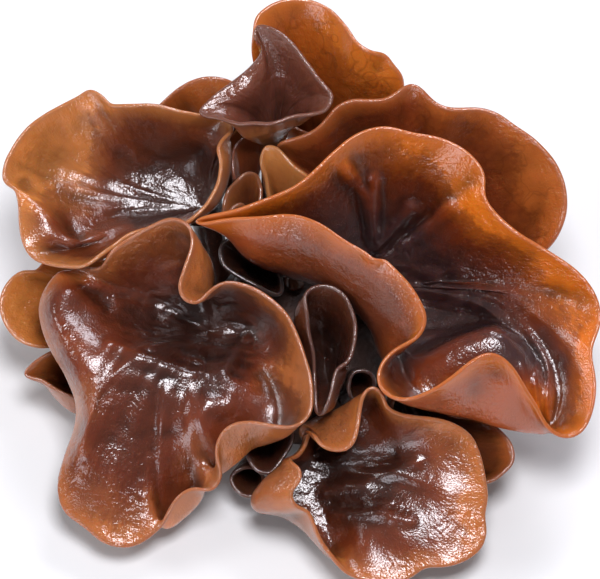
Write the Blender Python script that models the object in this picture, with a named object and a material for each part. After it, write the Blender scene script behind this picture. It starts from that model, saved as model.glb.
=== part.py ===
"""A clump of fresh wood ear mushroom: many thin, wavy, ear-shaped fruit bodies on one shared foot.

The clump stands on the flat cut where it was taken off the wood. Each ear is its own closed solid, a
sheet with a rounded rim that folds in to its throat and goes on below it as a short stalk. Every
stalk stops a small gap above the foot, and no two ears touch.
"""

import math

import bpy
import numpy as np

MM = 0.001

# Whole clump, in millimetres
SHEET = 1.5  # thickness of an ear
TILT = math.radians(60)  # the ears open towards a viewer this far above level
FACE_HEIGHT = 30.0  # height at which "up the face" is measured from zero
SHIFT = (0.2, 2.1)  # moves the clump so that the origin is under the middle of its box
FOOT_CENTRE = (-1.8, 3.1)
FOOT_RADIUS = (23.0, 25.0)  # left to right, front to back
FOOT_HEIGHT = 14.0
FOOT_GAP = 0.8  # clearance between the foot and the end of every stalk
FOOT_COLUMNS = 24
FOOT_RINGS = 5
FOOT_LUMP = 0.05  # how far the foot swells and sinks, as a share of its radius
OUTER_SHARE = 0.72  # share of the outer side that is kept before the stalk begins
STALK_MIDDLE = 0.9  # radius halfway down the stalk, as a share of its radius at the top
STALK_END = 0.95  # radius at the foot, as a share of its radius at the top
STALK_START = (SHEET + 1.0, 0.45)  # top ring below the throat: distance, and most share of the length
AIM_DEPTH = 8.0  # depth under the foot's skin that the end of a stalk points at

for old in list(bpy.data.objects):
    bpy.data.objects.remove(old, do_unlink=True)


def plain_material(name, colour, roughness):
    """A Principled surface of one colour."""
    material = bpy.data.materials.new(name)
    material.use_nodes = True
    shader = material.node_tree.nodes["Principled BSDF"]
    shader.inputs["Base Color"].default_value = (*colour, 1.0)
    shader.inputs["Roughness"].default_value = roughness
    return material


def add_solid(name, points, faces, material):
    """One named object from points in millimetres, shaded smooth."""
    mesh = bpy.data.meshes.new(name)
    mesh.from_pydata((points * MM).tolist(), [], faces)
    mesh.materials.append(material)
    mesh.polygons.foreach_set("use_smooth", [True] * len(mesh.polygons))
    mesh.update()
    made = bpy.data.objects.new(name, mesh)
    bpy.context.scene.collection.objects.link(made)
    return made


def closed_skin(rings, first_pole, last_pole):
    """Points and faces of a skin of closed rings with a fan of triangles at either end."""
    count, columns, _ = rings.shape
    points = np.concatenate([rings.reshape(-1, 3), [first_pole, last_pole]])
    first, last = count * columns, count * columns + 1
    faces = []
    for column in range(columns):
        after = (column + 1) % columns
        faces.append((first, column, after))
        for ring in range(count - 1):
            here, there = ring * columns, (ring + 1) * columns
            faces.append((here + column, there + column, there + after, here + after))
        end = (count - 1) * columns
        faces.append((last, end + after, end + column))
    return points, faces


def curve_through(stations, points, at):
    """A smooth open curve through the points: cubic pieces whose slopes are those of their neighbours."""
    step = np.diff(stations)[:, None]
    rise = np.diff(points, axis=0) / step
    slope = np.empty_like(points)
    slope[0], slope[-1] = rise[0], rise[-1]
    slope[1:-1] = (rise[:-1] * step[1:] + rise[1:] * step[:-1]) / (step[1:] + step[:-1])
    piece = np.clip(np.searchsorted(stations, at, side="right") - 1, 0, len(stations) - 2)
    width = step[piece]
    part = (at[:, None] - stations[piece][:, None]) / width
    return (
        points[piece] * (1 + 2 * part) * (1 - part) ** 2
        + slope[piece] * width * part * (1 - part) ** 2
        + points[piece + 1] * part**2 * (3 - 2 * part)
        + slope[piece + 1] * width * part**2 * (part - 1)
    )


def chord_stations(points):
    """Distance along a chain of points, from 0 at the first one to 1 at the last."""
    length = np.linalg.norm(np.diff(points, axis=0), axis=1)
    along = np.concatenate([[0.0], np.cumsum(length)])
    return along / along[-1]


def face_to_world(points):
    """Turns (across, up the tilted face, height) into (x, y, z), in millimetres."""
    points = np.asarray(points, float)
    across, up, height = points.T
    back = (up - (height - FACE_HEIGHT) * math.cos(TILT)) / math.sin(TILT)
    return np.stack([across + SHIFT[0], back + SHIFT[1], height], axis=1)


def foot_scale(turn):
    """How far the foot's edge stands out at this turn, against the plain oval."""
    lumps = np.sin(2 * turn + 0.7) + 0.7 * np.sin(3 * turn + 2.1) + 0.4 * np.sin(5 * turn + 0.4)
    return 1 + FOOT_LUMP * lumps


def foot_skin_point(turn, rise, grow=0.0):
    """A point of the foot's domed skin: rise is 0 at the cut and 90 degrees at the top."""
    turn, rise = np.broadcast_arrays(turn, rise)
    wide = foot_scale(turn)
    return np.stack(
        [
            FOOT_CENTRE[0] + (FOOT_RADIUS[0] * wide + grow) * np.cos(rise) * np.cos(turn),
            FOOT_CENTRE[1] + (FOOT_RADIUS[1] * wide + grow) * np.cos(rise) * np.sin(turn),
            (FOOT_HEIGHT + grow) * np.sin(rise),
        ],
        axis=-1,
    )


def ear_sheet(throat, ribs, columns, rings):
    """The inner side of an ear as a grid (ring, column): ribs run from the rim to the throat."""
    centre = face_to_world([throat])[0]
    share = np.linspace(0.0, 1.0, rings + 1)[:-1]
    grid = np.empty((rings, len(ribs), 3))
    for number, rib in enumerate(ribs):
        line = np.vstack([face_to_world(rib), centre])
        grid[:, number] = curve_through(chord_stations(line), line, share)
    closed = np.concatenate([grid[:, -2:], grid, grid[:, :3]], axis=1)
    gap = np.linalg.norm(np.diff(closed[0], axis=0), axis=1)
    along = np.concatenate([[0.0], np.cumsum(gap)])
    start, end = along[2], along[2 + len(ribs)]
    at = start + (end - start) * np.arange(columns) / columns
    grid = np.stack([curve_through(along, ring, at) for ring in closed])
    rim = grid[0]
    after = np.roll(rim, -1, axis=0)
    turning = np.cross(rim - centre, after - centre).sum(axis=0)
    facing = np.array([0.0, -math.cos(TILT), math.sin(TILT)])
    if turning @ facing < 0:
        grid = grid[:, ::-1]
    return grid, centre


def sheet_normals(grid, centre):
    """Unit normals on the inner side of the grid, and unit directions out of the rim."""
    inward = np.concatenate([grid[1:], np.broadcast_to(centre, grid[:1].shape)])
    outward = np.concatenate([grid[:1], grid[:-1]])
    reach = outward - inward
    turn = np.roll(grid, -1, axis=1) - np.roll(grid, 1, axis=1)
    normal = np.cross(reach, turn)
    normal /= np.linalg.norm(normal, axis=-1, keepdims=True)
    out = reach[0] / np.linalg.norm(reach[0], axis=-1, keepdims=True)
    return normal, out


def stalk_rings(outer, centre, radius, foot_spot):
    """Rings of the stalk, from under the throat down to a small gap above the foot."""
    turn, rise = math.radians(foot_spot[0]), math.radians(foot_spot[1])
    end = foot_skin_point(turn, rise, FOOT_GAP)
    into = foot_skin_point(turn, rise, -AIM_DEPTH) - end
    into /= np.linalg.norm(into)
    down = end - centre
    length = np.linalg.norm(down)
    down /= length
    side = np.cross(down, [0.3, 1.0, 0.2])
    side /= np.linalg.norm(side)
    other = np.cross(side, down)
    columns = outer.shape[0]
    away = outer - centre
    angle = np.arctan2(away @ other, away @ side)
    even = 2 * math.pi * np.arange(columns) / columns
    lean = np.angle(np.exp(1j * (angle - even)).sum())
    even = even + lean
    circle = np.cos(even)[:, None] * side + np.sin(even)[:, None] * other
    first = centre + down * min(STALK_START[0], STALK_START[1] * length)
    rings = [first + circle * radius, (first + end) / 2 + circle * radius * STALK_MIDDLE]
    flat_side = np.cross(into, other)
    flat_side /= np.linalg.norm(flat_side)
    if flat_side @ side < 0:
        flat_side = -flat_side
    flat_other = np.cross(flat_side, into)
    flat = np.cos(even)[:, None] * flat_side + np.sin(even)[:, None] * flat_other
    rings.append(end + flat * radius * STALK_END)
    return np.stack(rings), end


def ear(name, throat, ribs, columns, rings, stalk_radius, foot_spot, tint):
    """One ear: inner side, rounded rim, outer side, stalk and stalk end, as one closed skin."""
    grid, centre = ear_sheet(throat, ribs, columns, rings)
    normal, out = sheet_normals(grid, centre)
    inner = grid[::-1]
    outer = grid - normal * SHEET
    round_rim = grid[0] - normal[0] * SHEET / 2 + out * SHEET / 2
    keep = max(2, int(round(rings * OUTER_SHARE)))
    stalk, end = stalk_rings(outer[keep - 1], centre, stalk_radius, foot_spot)
    skin = np.concatenate([inner, round_rim[None], outer[:keep], stalk])
    points, faces = closed_skin(skin, centre, end)
    flesh = plain_material(name + "_flesh", tint, 0.35)
    return add_solid(name, points, faces, flesh)


# ----------------------------------------------------------------------
# Foot: the lumpy pad of flesh that all the ears grow from, cut off flat underneath.
foot_turn = 2 * math.pi * np.arange(FOOT_COLUMNS) / FOOT_COLUMNS
foot_rise = np.linspace(0.0, 0.5 * math.pi, FOOT_RINGS + 1)[:-1]
foot_rings = foot_skin_point(foot_turn[None, :], foot_rise[:, None])
foot_bottom = np.array([FOOT_CENTRE[0], FOOT_CENTRE[1], 0.0])
foot_top = np.array([FOOT_CENTRE[0], FOOT_CENTRE[1], FOOT_HEIGHT])
foot_points, foot_faces = closed_skin(foot_rings, foot_bottom, foot_top)
foot_faces = [tuple(reversed(face)) for face in foot_faces]
add_solid("foot", foot_points, foot_faces, plain_material("foot_flesh", (0.05, 0.018, 0.010), 0.5))


# ----------------------------------------------------------------------
# Right cup ear: a long bowl whose near wall leans in over its own hollow.
RIGHT_CUP_EAR_RIBS = (
    ((-22.5, 14.5, 45.5), (-12, 12.4, 39)),
    ((-16, 15.2, 46.3), (-14, 10.8, 39)),
    ((-8, 15.5, 47.5), (-8.6, 8.4, 38)),
    ((-2, 16.2, 48.3), (-3, 6.4, 36.6)),
    ((4, 14.4, 48.8), (2, 4, 35.5)),
    ((10, 10.3, 48.8), (7.3, 0.9, 34)),
    ((16, 7, 48.2), (12, -2.6, 32.5)),
    ((21.5, 3.2, 46.5), (15.8, -6.8, 31)),
    ((25.6, -2, 43.8), (18.4, -10.6, 30)),
    ((27.3, -7.2, 40.8), (19.6, -13.2, 29)),
    ((25.4, -10.8, 38.6), (20, -14.6, 28.4)),
    ((21.6, -12.6, 37), (19.8, -15.4, 28)),
    ((18.6, -15.4, 35.8), (19.8, -16.6, 27.4)),
    ((17.2, -19, 35), (20.6, -18.6, 26.6)),
    ((18.8, -22, 35), (22.8, -21, 26)),
    ((22.5, -23.2, 35.5), (26, -23, 25.5), (24.6, -17, 26.2), (23, -14.6, 23.4)),
    ((27.5, -21.5, 37), (30, -24.8, 24.6), (28.4, -14, 28.6), (27, -13.2, 23.8)),
    ((32.5, -18.2, 39.5), (34.4, -26.2, 23.6), (33, -11.3, 30.4), (31.4, -11.2, 24.6)),
    ((36.5, -14.8, 41.3), (38.2, -27.2, 22.8), (37.6, -9.4, 31.6), (36, -9.4, 25.2)),
    ((40.2, -13.4, 42), (42, -28.6, 21.8), (42, -7.7, 32.2), (40.6, -7.6, 26)),
    ((44.3, -15.4, 40.3), (46, -29.6, 20.6), (45.2, -10.6, 31), (42.6, -7.4, 26.4)),
    ((48, -20.2, 36.3), (50, -30.2, 19.6), (48.2, -14.4, 29.4), (48, -12, 27.4), (43.8, -7, 26.8)),
    ((51.2, -25.4, 31), (53, -30.5, 19.4), (50.8, -18.4, 27.8), (51, -15.6, 26.2), (44.6, -6.5, 27)),
    ((53.8, -30, 27), (55, -29.6, 20.6), (53.2, -22.6, 26), (53.4, -19, 25.4), (45.2, -6, 27.2)),
    ((57, -31.6, 25.4), (56, -27, 21.8), (55, -20.6, 25), (45.8, -5.4, 27.4)),
    ((60.2, -30.6, 25.2), (57.6, -21.6, 25.2), (46.2, -4.8, 27.8)),
    ((62.5, -26, 27.5), (57, -15, 27.6), (46.6, -4.1, 28.2)),
    ((63.3, -19.5, 30), (55, -9.5, 29.6), (47, -3.3, 28.8)),
    ((62.4, -13, 32), (54, -6.4, 30.4), (47.2, -2.4, 29.4)),
    ((64.6, -6.5, 34), (54.6, -3, 31.4), (47.4, -1.4, 30)),
    ((63.6, -1.8, 36), (54.4, -0.4, 32), (47.4, -0.2, 30.6)),
    ((60.5, 2.6, 38.5), (46, 2, 31)),
    ((56.3, 6, 40), (43, 4, 31.2)),
    ((52.5, 8.4, 41), (39, 6, 31.6)),
    ((47, 11.8, 43), (35, 8, 32)),
    ((41.8, 16.4, 45), (31, 10.5, 33)),
    ((39.2, 20.4, 46.5), (28.5, 13.5, 34)),
    ((39.6, 24.6, 48), (27.5, 16.5, 35.4)),
    ((36.5, 29, 49.5), (25.5, 18.5, 36.4)),
    ((30, 32.4, 51), (22.5, 20, 37.4)),
    ((24, 33.4, 52), (20, 20.5, 38)),
    ((18.5, 34.8, 53), (16.5, 20.5, 38.5)),
    ((13, 33.4, 53), (13.5, 20, 38.5)),
    ((8, 29.6, 52), (9.5, 18, 38)),
    ((3.5, 25, 51), (5.5, 16, 38)),
    ((-1.5, 21.2, 50), (1, 14.5, 38)),
    ((-8, 18.8, 48.5), (-4.5, 13.5, 38.4)),
    ((-15.5, 16.3, 47), (-9, 13, 38.8)),
)
ear(
    "right_cup_ear",
    throat=(15, 1, 19),
    ribs=RIGHT_CUP_EAR_RIBS,
    columns=44,
    rings=6,
    stalk_radius=4.0,
    foot_spot=(15, 42),
    tint=(0.2, 0.055, 0.018),
)

# ----------------------------------------------------------------------
# Left front ear: the largest, a broad wet lobe that hangs down to the front left.
LEFT_FRONT_EAR_RIBS = (
    ((-36, 11.2, 41), (-30, 3, 29.4)),
    ((-31.5, 13.8, 44), (-27.4, 3, 29)),
    ((-27, 14.8, 46), (-25, 2, 27)),
    ((-24, 13, 46.5), (-22.3, 4, 29)),
    ((-23.6, 9.5, 45.5), (-20.9, 7, 36), (-20.5, 0, 27)),
    ((-25.2, 4.8, 43.8), (-20.8, 3.5, 35), (-20, -2, 26)),
    ((-26.3, 0.8, 42), (-21, 0.8, 34), (-19.5, -3, 25)),
    ((-25, -2.4, 40.5), (-20.5, -1.2, 33), (-19, -4, 24)),
    ((-22, -3.2, 39.5), (-18.5, -2, 31), (-18, -5, 23)),
    ((-19.3, -0.8, 39), (-16.6, -3, 28)),
    ((-16, 1.2, 38.6), (-15.3, -4, 25)),
    ((-12.5, 1, 38.2), (-13.5, -5, 24)),
    ((-8, -1.2, 37.2), (-12, -6.5, 23)),
    ((-4, -4.4, 36), (-10.5, -8, 22)),
    ((-1.2, -9, 35), (-9.5, -10.5, 21.5)),
    ((0.7, -15, 33.3), (-9, -13, 21.5)),
    ((2, -21.5, 31.5), (-9, -15.5, 22)),
    ((1.8, -26.4, 30), (-4, -24, 22.5), (-11, -17, 22)),
    ((-0.8, -29, 28.8), (-3.5, -30, 21), (-12.5, -20, 24)),
    ((-5.5, -29, 28.3), (-7, -32.2, 19), (-14, -22, 25)),
    ((-11, -28.1, 28), (-11, -34, 17.5), (-16, -24, 25)),
    ((-15.3, -29.2, 26.5), (-13.4, -37.6, 15.6), (-18.5, -25, 25)),
    ((-17.9, -32.2, 24.3), (-16, -39, 14.5), (-20.5, -26, 25)),
    ((-18.4, -36, 21.8), (-17.8, -39.5, 14), (-22, -27, 24.5), (-21, -19, 25)),
    ((-17.4, -40, 19), (-20, -38, 16), (-23, -28, 23.5), (-22.5, -19.3, 25.5)),
    ((-19, -42.9, 17), (-21.5, -40, 15), (-24.5, -29, 22.5), (-24, -19.6, 26)),
    ((-22.8, -42.4, 16.5), (-22.5, -45.3, 10), (-26, -32, 20), (-25.2, -19.4, 26.3)),
    ((-26.4, -44.2, 15), (-26, -48.6, 8), (-28.5, -34, 18.5), (-26.5, -19, 26.6)),
    ((-29, -47.8, 12.5), (-29.3, -51.4, 7), (-30.5, -36, 17.5), (-28, -18.3, 27)),
    ((-31.2, -52, 9.8), (-32, -44, 13), (-31.5, -31, 20), (-29, -18, 27.3)),
    ((-36, -55.2, 8.4), (-35.5, -46, 12.5), (-33.5, -30, 21), (-30, -17.5, 27.6)),
    ((-42, -54.6, 8.8), (-39, -46, 13), (-36, -30, 21.5), (-31, -17, 27.8)),
    ((-46.5, -51.2, 10), (-42, -44, 14.5), (-38, -28, 22.5), (-32, -16.6, 28)),
    ((-51, -47.8, 11), (-44.5, -40, 16.5), (-40, -26.5, 23.5), (-33, -16.4, 28.3)),
    ((-52.6, -42, 13), (-47, -37, 18.5), (-41.5, -25, 24.5), (-34, -16.2, 28.6)),
    ((-51.3, -36, 15), (-47.5, -33, 21), (-42.5, -22.5, 26), (-35.5, -15.8, 29)),
    ((-49, -30.6, 17), (-45.8, -28, 23.5), (-42.5, -20, 27.5), (-37, -15.2, 29.3)),
    ((-48.3, -25.6, 19.5), (-45.5, -23, 26), (-42.5, -17, 28.8), (-38, -14, 28.6)),
    ((-50, -20, 22), (-47, -18.5, 28), (-43, -14.5, 29.8), (-37, -12.3, 27)),
    ((-53.3, -14.5, 24), (-49.5, -13.3, 29.8), (-44, -11.8, 30), (-36, -10.6, 25.5)),
    ((-56, -9, 26), (-52, -8.5, 31), (-45, -8.8, 29.8), (-35, -9, 24.5)),
    ((-56.9, -4, 27.5), (-53, -4.5, 31.6), (-46, -5.5, 29.6), (-35, -7, 24)),
    ((-55.5, 0.4, 29), (-52, -0.8, 32), (-45.5, -2.5, 29.4), (-34, -5, 23.6)),
    ((-51.5, 4.3, 31), (-47, 1.6, 31), (-41, -1, 27), (-32.5, -4, 23.4)),
    ((-47, 4.2, 30.6), (-42.4, 1.6, 28.6), (-36, -1.6, 25)),
    ((-43.6, 3.8, 32.8), (-40, 1.6, 28.6), (-34, -1, 25)),
    ((-40.6, 7.6, 38.4), (-35.4, 2.2, 28.8)),
)
ear(
    "left_front_ear",
    throat=(-20, -9, 18.5),
    ribs=LEFT_FRONT_EAR_RIBS,
    columns=40,
    rings=5,
    stalk_radius=4.0,
    foot_spot=(200, 45),
    tint=(0.16, 0.045, 0.016),
)

# ----------------------------------------------------------------------
# Left upper ear: a wide shallow bowl at the back left.
LEFT_UPPER_EAR_RIBS = (
    ((-24.8, 14.4, 42), (-23, 16.6, 35.5)),
    ((-21.6, 17.2, 43.4), (-19.8, 18.2, 36.4), (-20, 18.8, 29.4)),
    ((-19.3, 20.3, 44.2), (-18, 21, 37.4), (-19, 20.4, 30.4)),
    ((-17.7, 23.8, 45), (-16.9, 24.8, 38.8), (-18.4, 22.2, 31.4)),
    ((-17.4, 27.2, 45.8), (-16.5, 28.5, 40), (-18.2, 24.4, 32.4)),
    ((-18.3, 30.6, 46.2), (-16.6, 31, 40.6), (-18.6, 26, 33)),
    ((-17, 33.4, 45.8), (-16.6, 32.2, 40.8), (-19, 27, 33.4)),
    ((-15.2, 35.2, 45.2), (-17.4, 32.2, 41), (-19.8, 27, 33.6)),
    ((-16.4, 36.8, 45), (-19.6, 33.2, 40.4), (-21.4, 28.6, 32.8)),
    ((-20.4, 37.4, 45.4), (-23, 33.6, 39.4), (-23.4, 29.2, 32)),
    ((-26, 38.4, 47), (-26.8, 34, 39.4), (-26.4, 29.4, 31.6)),
    ((-32, 39.8, 48), (-31.2, 34.4, 39.6), (-29.8, 29.4, 31.4)),
    ((-38, 39.6, 47.8), (-35.8, 34.2, 39.4), (-32.8, 29, 31.4)),
    ((-42, 39.9, 47.2), (-39, 34, 39.4), (-35.6, 28.4, 31.4)),
    ((-43.8, 42, 47.8), (-41.2, 35, 40.4), (-37.6, 28.2, 31.6)),
    ((-46, 43.2, 47.8), (-43.6, 35, 40.6), (-39.6, 27.6, 31.6)),
    ((-48.2, 41.8, 46.6), (-46, 33, 38.2), (-41, 26.4, 31.2)),
    ((-52, 39.8, 45.2), (-49, 32, 37), (-42.2, 25.6, 30.4)),
    ((-56, 37.6, 43.8), (-52, 31, 36), (-43.2, 24.4, 29.8)),
    ((-59.6, 34.7, 42.2), (-54.5, 29.5, 35), (-44, 23.2, 29.4)),
    ((-62.3, 31, 40.8), (-56.5, 27, 34.3), (-44.4, 22, 29.1)),
    ((-64, 27, 39.4), (-57.5, 24.5, 34), (-44, 21, 29)),
    ((-64.2, 24, 38.4), (-57.5, 22, 35), (-50, 20, 30), (-42, 19.5, 28)),
    ((-62.2, 22.6, 38.4), (-56.5, 20.2, 36.5), (-50.5, 17.5, 31), (-42, 18, 28)),
    ((-61.2, 19, 37.2), (-55, 17.4, 36.8), (-50, 14.2, 32), (-41.5, 17, 27.6)),
    ((-61, 15, 35.6), (-54.4, 14.2, 35.8), (-49.4, 11.8, 32.2), (-41, 16, 27.4)),
    ((-60.3, 11, 34.3), (-54.2, 11, 34.3), (-48, 10.4, 32), (-40, 15.2, 27.2)),
    ((-58.4, 7.8, 33.4), (-53, 9, 31.4), (-46, 10.4, 30.6), (-39, 14.8, 27)),
    ((-55, 6.1, 33.6), (-50, 8.6, 30), (-43, 11.4, 29.2), (-37, 14.6, 27)),
    ((-50, 5.4, 35), (-46, 8.6, 30), (-40, 12.2, 28.6), (-35, 14.8, 27)),
    ((-46.4, 5.6, 36.4), (-43, 9.2, 30.4), (-37, 13, 28.4)),
    ((-43.5, 7.8, 37), (-40, 10.6, 31), (-35, 13.8, 28.4)),
    ((-40.4, 10.2, 35.6), (-37, 12.2, 30.8), (-32.4, 14.4, 28.4)),
    ((-37, 12.2, 35), (-34, 13.4, 31), (-30, 15, 28.6)),
    ((-33.4, 13.4, 35.8), (-31, 14.2, 31.6), (-28, 15.6, 28.8)),
    ((-29.4, 14, 38.4), (-27.4, 15, 33), (-25.6, 16.2, 29)),
)
ear(
    "left_upper_ear",
    throat=(-21, 18, 25),
    ribs=LEFT_UPPER_EAR_RIBS,
    columns=34,
    rings=5,
    stalk_radius=3.6,
    foot_spot=(140, 28),
    tint=(0.22, 0.07, 0.022),
)

# ----------------------------------------------------------------------
# Top ear: an upright amber lobe at the back.
TOP_EAR_RIBS = (
    ((-9.8, 56, 57.8), (-5, 51, 51.4), (0, 38, 35.4)),
    ((-9.3, 58.8, 59.2), (-4, 52.6, 52.4), (1, 39, 36.4)),
    ((-7, 61, 60.2), (-2.5, 54, 53), (2, 40, 37)),
    ((-3, 62.6, 60.7), (0, 54.5, 53.4), (3, 40, 37.4)),
    ((1.5, 62.6, 60.5), (3, 54, 53.4), (4.5, 40, 37.4)),
    ((6, 60.7, 60), (6, 52.5, 53), (6, 39, 37)),
    ((9.4, 57.2, 59.4), (8.5, 50, 52), (7, 38, 36.4)),
    ((12, 53.4, 58.8), (10.5, 47.5, 50.6), (8, 36.5, 35.6)),
    ((15.2, 51.3, 58), (12.5, 45.5, 49), (9, 35, 34.6)),
    ((18.4, 50.6, 56.6), (14.5, 44, 47.6), (9.5, 34, 33.8)),
    ((20, 48.6, 55), (15.5, 42, 45.6), (9.6, 32.5, 33)),
    ((21.9, 46.2, 52.6), (16, 40, 43), (9.6, 31, 32)),
    ((22.1, 43, 49.4), (15.5, 37.5, 40), (9.4, 29.5, 31)),
    ((19, 38.5, 44.4), (13, 33, 35.6)),
    ((12, 35, 40), (9, 29, 32)),
    ((3, 34, 36.6), (4, 28, 31)),
    ((-4, 38, 38), (0, 31, 29.4)),
    ((-8.5, 45, 44), (-2, 36, 33.4)),
    ((-10.4, 52, 53.4), (-5.5, 44, 42.4), (-1, 35, 32.4)),
)
ear(
    "top_ear",
    throat=(4, 22, 23.5),
    ribs=TOP_EAR_RIBS,
    columns=24,
    rings=5,
    stalk_radius=3.0,
    foot_spot=(75, 42),
    tint=(0.3, 0.1, 0.025),
)

# ----------------------------------------------------------------------
# Top fold ear: a dark flap that stands in front of the top ear.
TOP_FOLD_EAR_RIBS = (
    ((-9.4, 56.6, 60.8), (-7.6, 52.5, 57.5), (-5.5, 44, 48.4)),
    ((-6.8, 56.3, 61.5), (-5.8, 52.5, 57.5), (-5, 44, 48.4)),
    ((-3.8, 54.8, 61.4), (-4, 51, 56.5), (-4, 43, 47.6)),
    ((-1, 51.8, 60.4), (-2, 48.6, 55), (-3.5, 42, 46.6)),
    ((1.6, 48.4, 59), (-0.2, 46, 53.5), (-3, 41, 46)),
    ((4.2, 44.7, 57.6), (1.4, 43.6, 52.4), (-2.6, 40, 45.4)),
    ((6.4, 41.2, 56.2), (2.4, 41.6, 51.8), (-2.4, 39, 44.6)),
    ((5.4, 39.2, 55), (2, 40, 51), (-2.6, 38, 43.6)),
    ((2, 38.2, 54), (0.8, 38, 48), (-3, 36.8, 42)),
    ((-2, 37.6, 53.4), (-2.4, 36.4, 47), (-4, 35, 41)),
    ((-6, 36.2, 52.8), (-6.2, 34.8, 46.2), (-5, 33, 39)),
    ((-10, 36.2, 52), (-10, 34, 45.8), (-6.4, 32, 38)),
    ((-13.2, 36, 51.4), (-11.8, 34.2, 46.2), (-7.4, 32, 38)),
    ((-17, 37.4, 51.2), (-13.4, 37, 48.4), (-8.4, 34, 40)),
    ((-21.5, 38.8, 50.8), (-16, 39.7, 50), (-9, 36.5, 42)),
    ((-19, 41.6, 51.4), (-14.6, 41.4, 51), (-8.6, 38, 44)),
    ((-14.4, 45.2, 53), (-12, 44, 52.6), (-8, 40, 46)),
    ((-10.6, 48, 54.8), (-9.4, 46.8, 54), (-7.2, 42, 47.6)),
    ((-8.6, 50.6, 56.4), (-8, 49.4, 55.6), (-6.6, 43.4, 48.6)),
    ((-8.2, 53.2, 58.4), (-7.6, 51.6, 56.8), (-6, 44, 48.8)),
)
ear(
    "top_fold_ear",
    throat=(-6, 25, 30),
    ribs=TOP_FOLD_EAR_RIBS,
    columns=24,
    rings=5,
    stalk_radius=2.8,
    foot_spot=(100, 55),
    tint=(0.16, 0.05, 0.02),
)

# ----------------------------------------------------------------------
# Back right ear: a tall veined fan behind the cup.
BACK_RIGHT_EAR_RIBS = (
    ((53.4, 8.6, 34), (44, 10, 27)),
    ((55.6, 12, 37.4), (46, 13, 29.4)),
    ((57.2, 16.4, 40), (47, 16, 32), (32, 14, 25.6)),
    ((57.2, 20.8, 42.6), (47, 19.5, 34.6)),
    ((56, 25.2, 44.8), (46, 23, 37)),
    ((53.6, 29.2, 46.8), (44, 26, 38.5)),
    ((50.2, 32.4, 48.6), (42, 28, 40)),
    ((46.2, 35.2, 50), (39, 29.5, 41)),
    ((42.4, 37.8, 51.4), (36, 31, 41.8)),
    ((38.4, 38.9, 52), (33, 31.5, 42)),
    ((34.4, 38.8, 52), (30.5, 31.5, 42)),
    ((31, 39.2, 51.8), (28.5, 31.5, 42)),
    ((28.6, 40.6, 52.4), (27, 32.5, 42.6)),
    ((26.6, 42.8, 54), (25.6, 34, 44.6)),
    ((24.3, 44.2, 54.8), (24, 35, 46)),
    ((21.9, 43, 53.8), (22, 34.6, 45)),
    ((19, 41, 52.8), (20, 33.5, 43.6)),
    ((15, 40.5, 52.4), (17, 33, 43)),
    ((11, 40.5, 52.2), (14, 32.5, 42.6)),
    ((8.3, 39.2, 51.4), (11.6, 31.5, 42)),
    ((6, 36.6, 50), (9.6, 29.6, 40.6)),
    ((3.6, 34.3, 48.6), (7.6, 27.6, 39)),
    ((0, 32.6, 46.6), (6, 26, 36.4)),
    ((-3.6, 31.6, 45), (4.6, 25, 34.6)),
    ((-5, 30.6, 42.6), (5, 24, 32.4)),
    ((-2.6, 28.4, 39.6), (7, 22, 30.4)),
    ((3.6, 24, 35.4), (9.6, 19.4, 28.4)),
    ((10, 19.4, 31), (12.6, 16.6, 26)),
    ((20, 14.4, 26.4),),
    ((31, 10, 24),),
    ((42, 7, 24.4),),
    ((49.6, 7, 28),),
)
ear(
    "back_right_ear",
    throat=(17, 13, 21.5),
    ribs=BACK_RIGHT_EAR_RIBS,
    columns=30,
    rings=5,
    stalk_radius=3.4,
    foot_spot=(50, 40),
    tint=(0.26, 0.085, 0.022),
)

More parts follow.
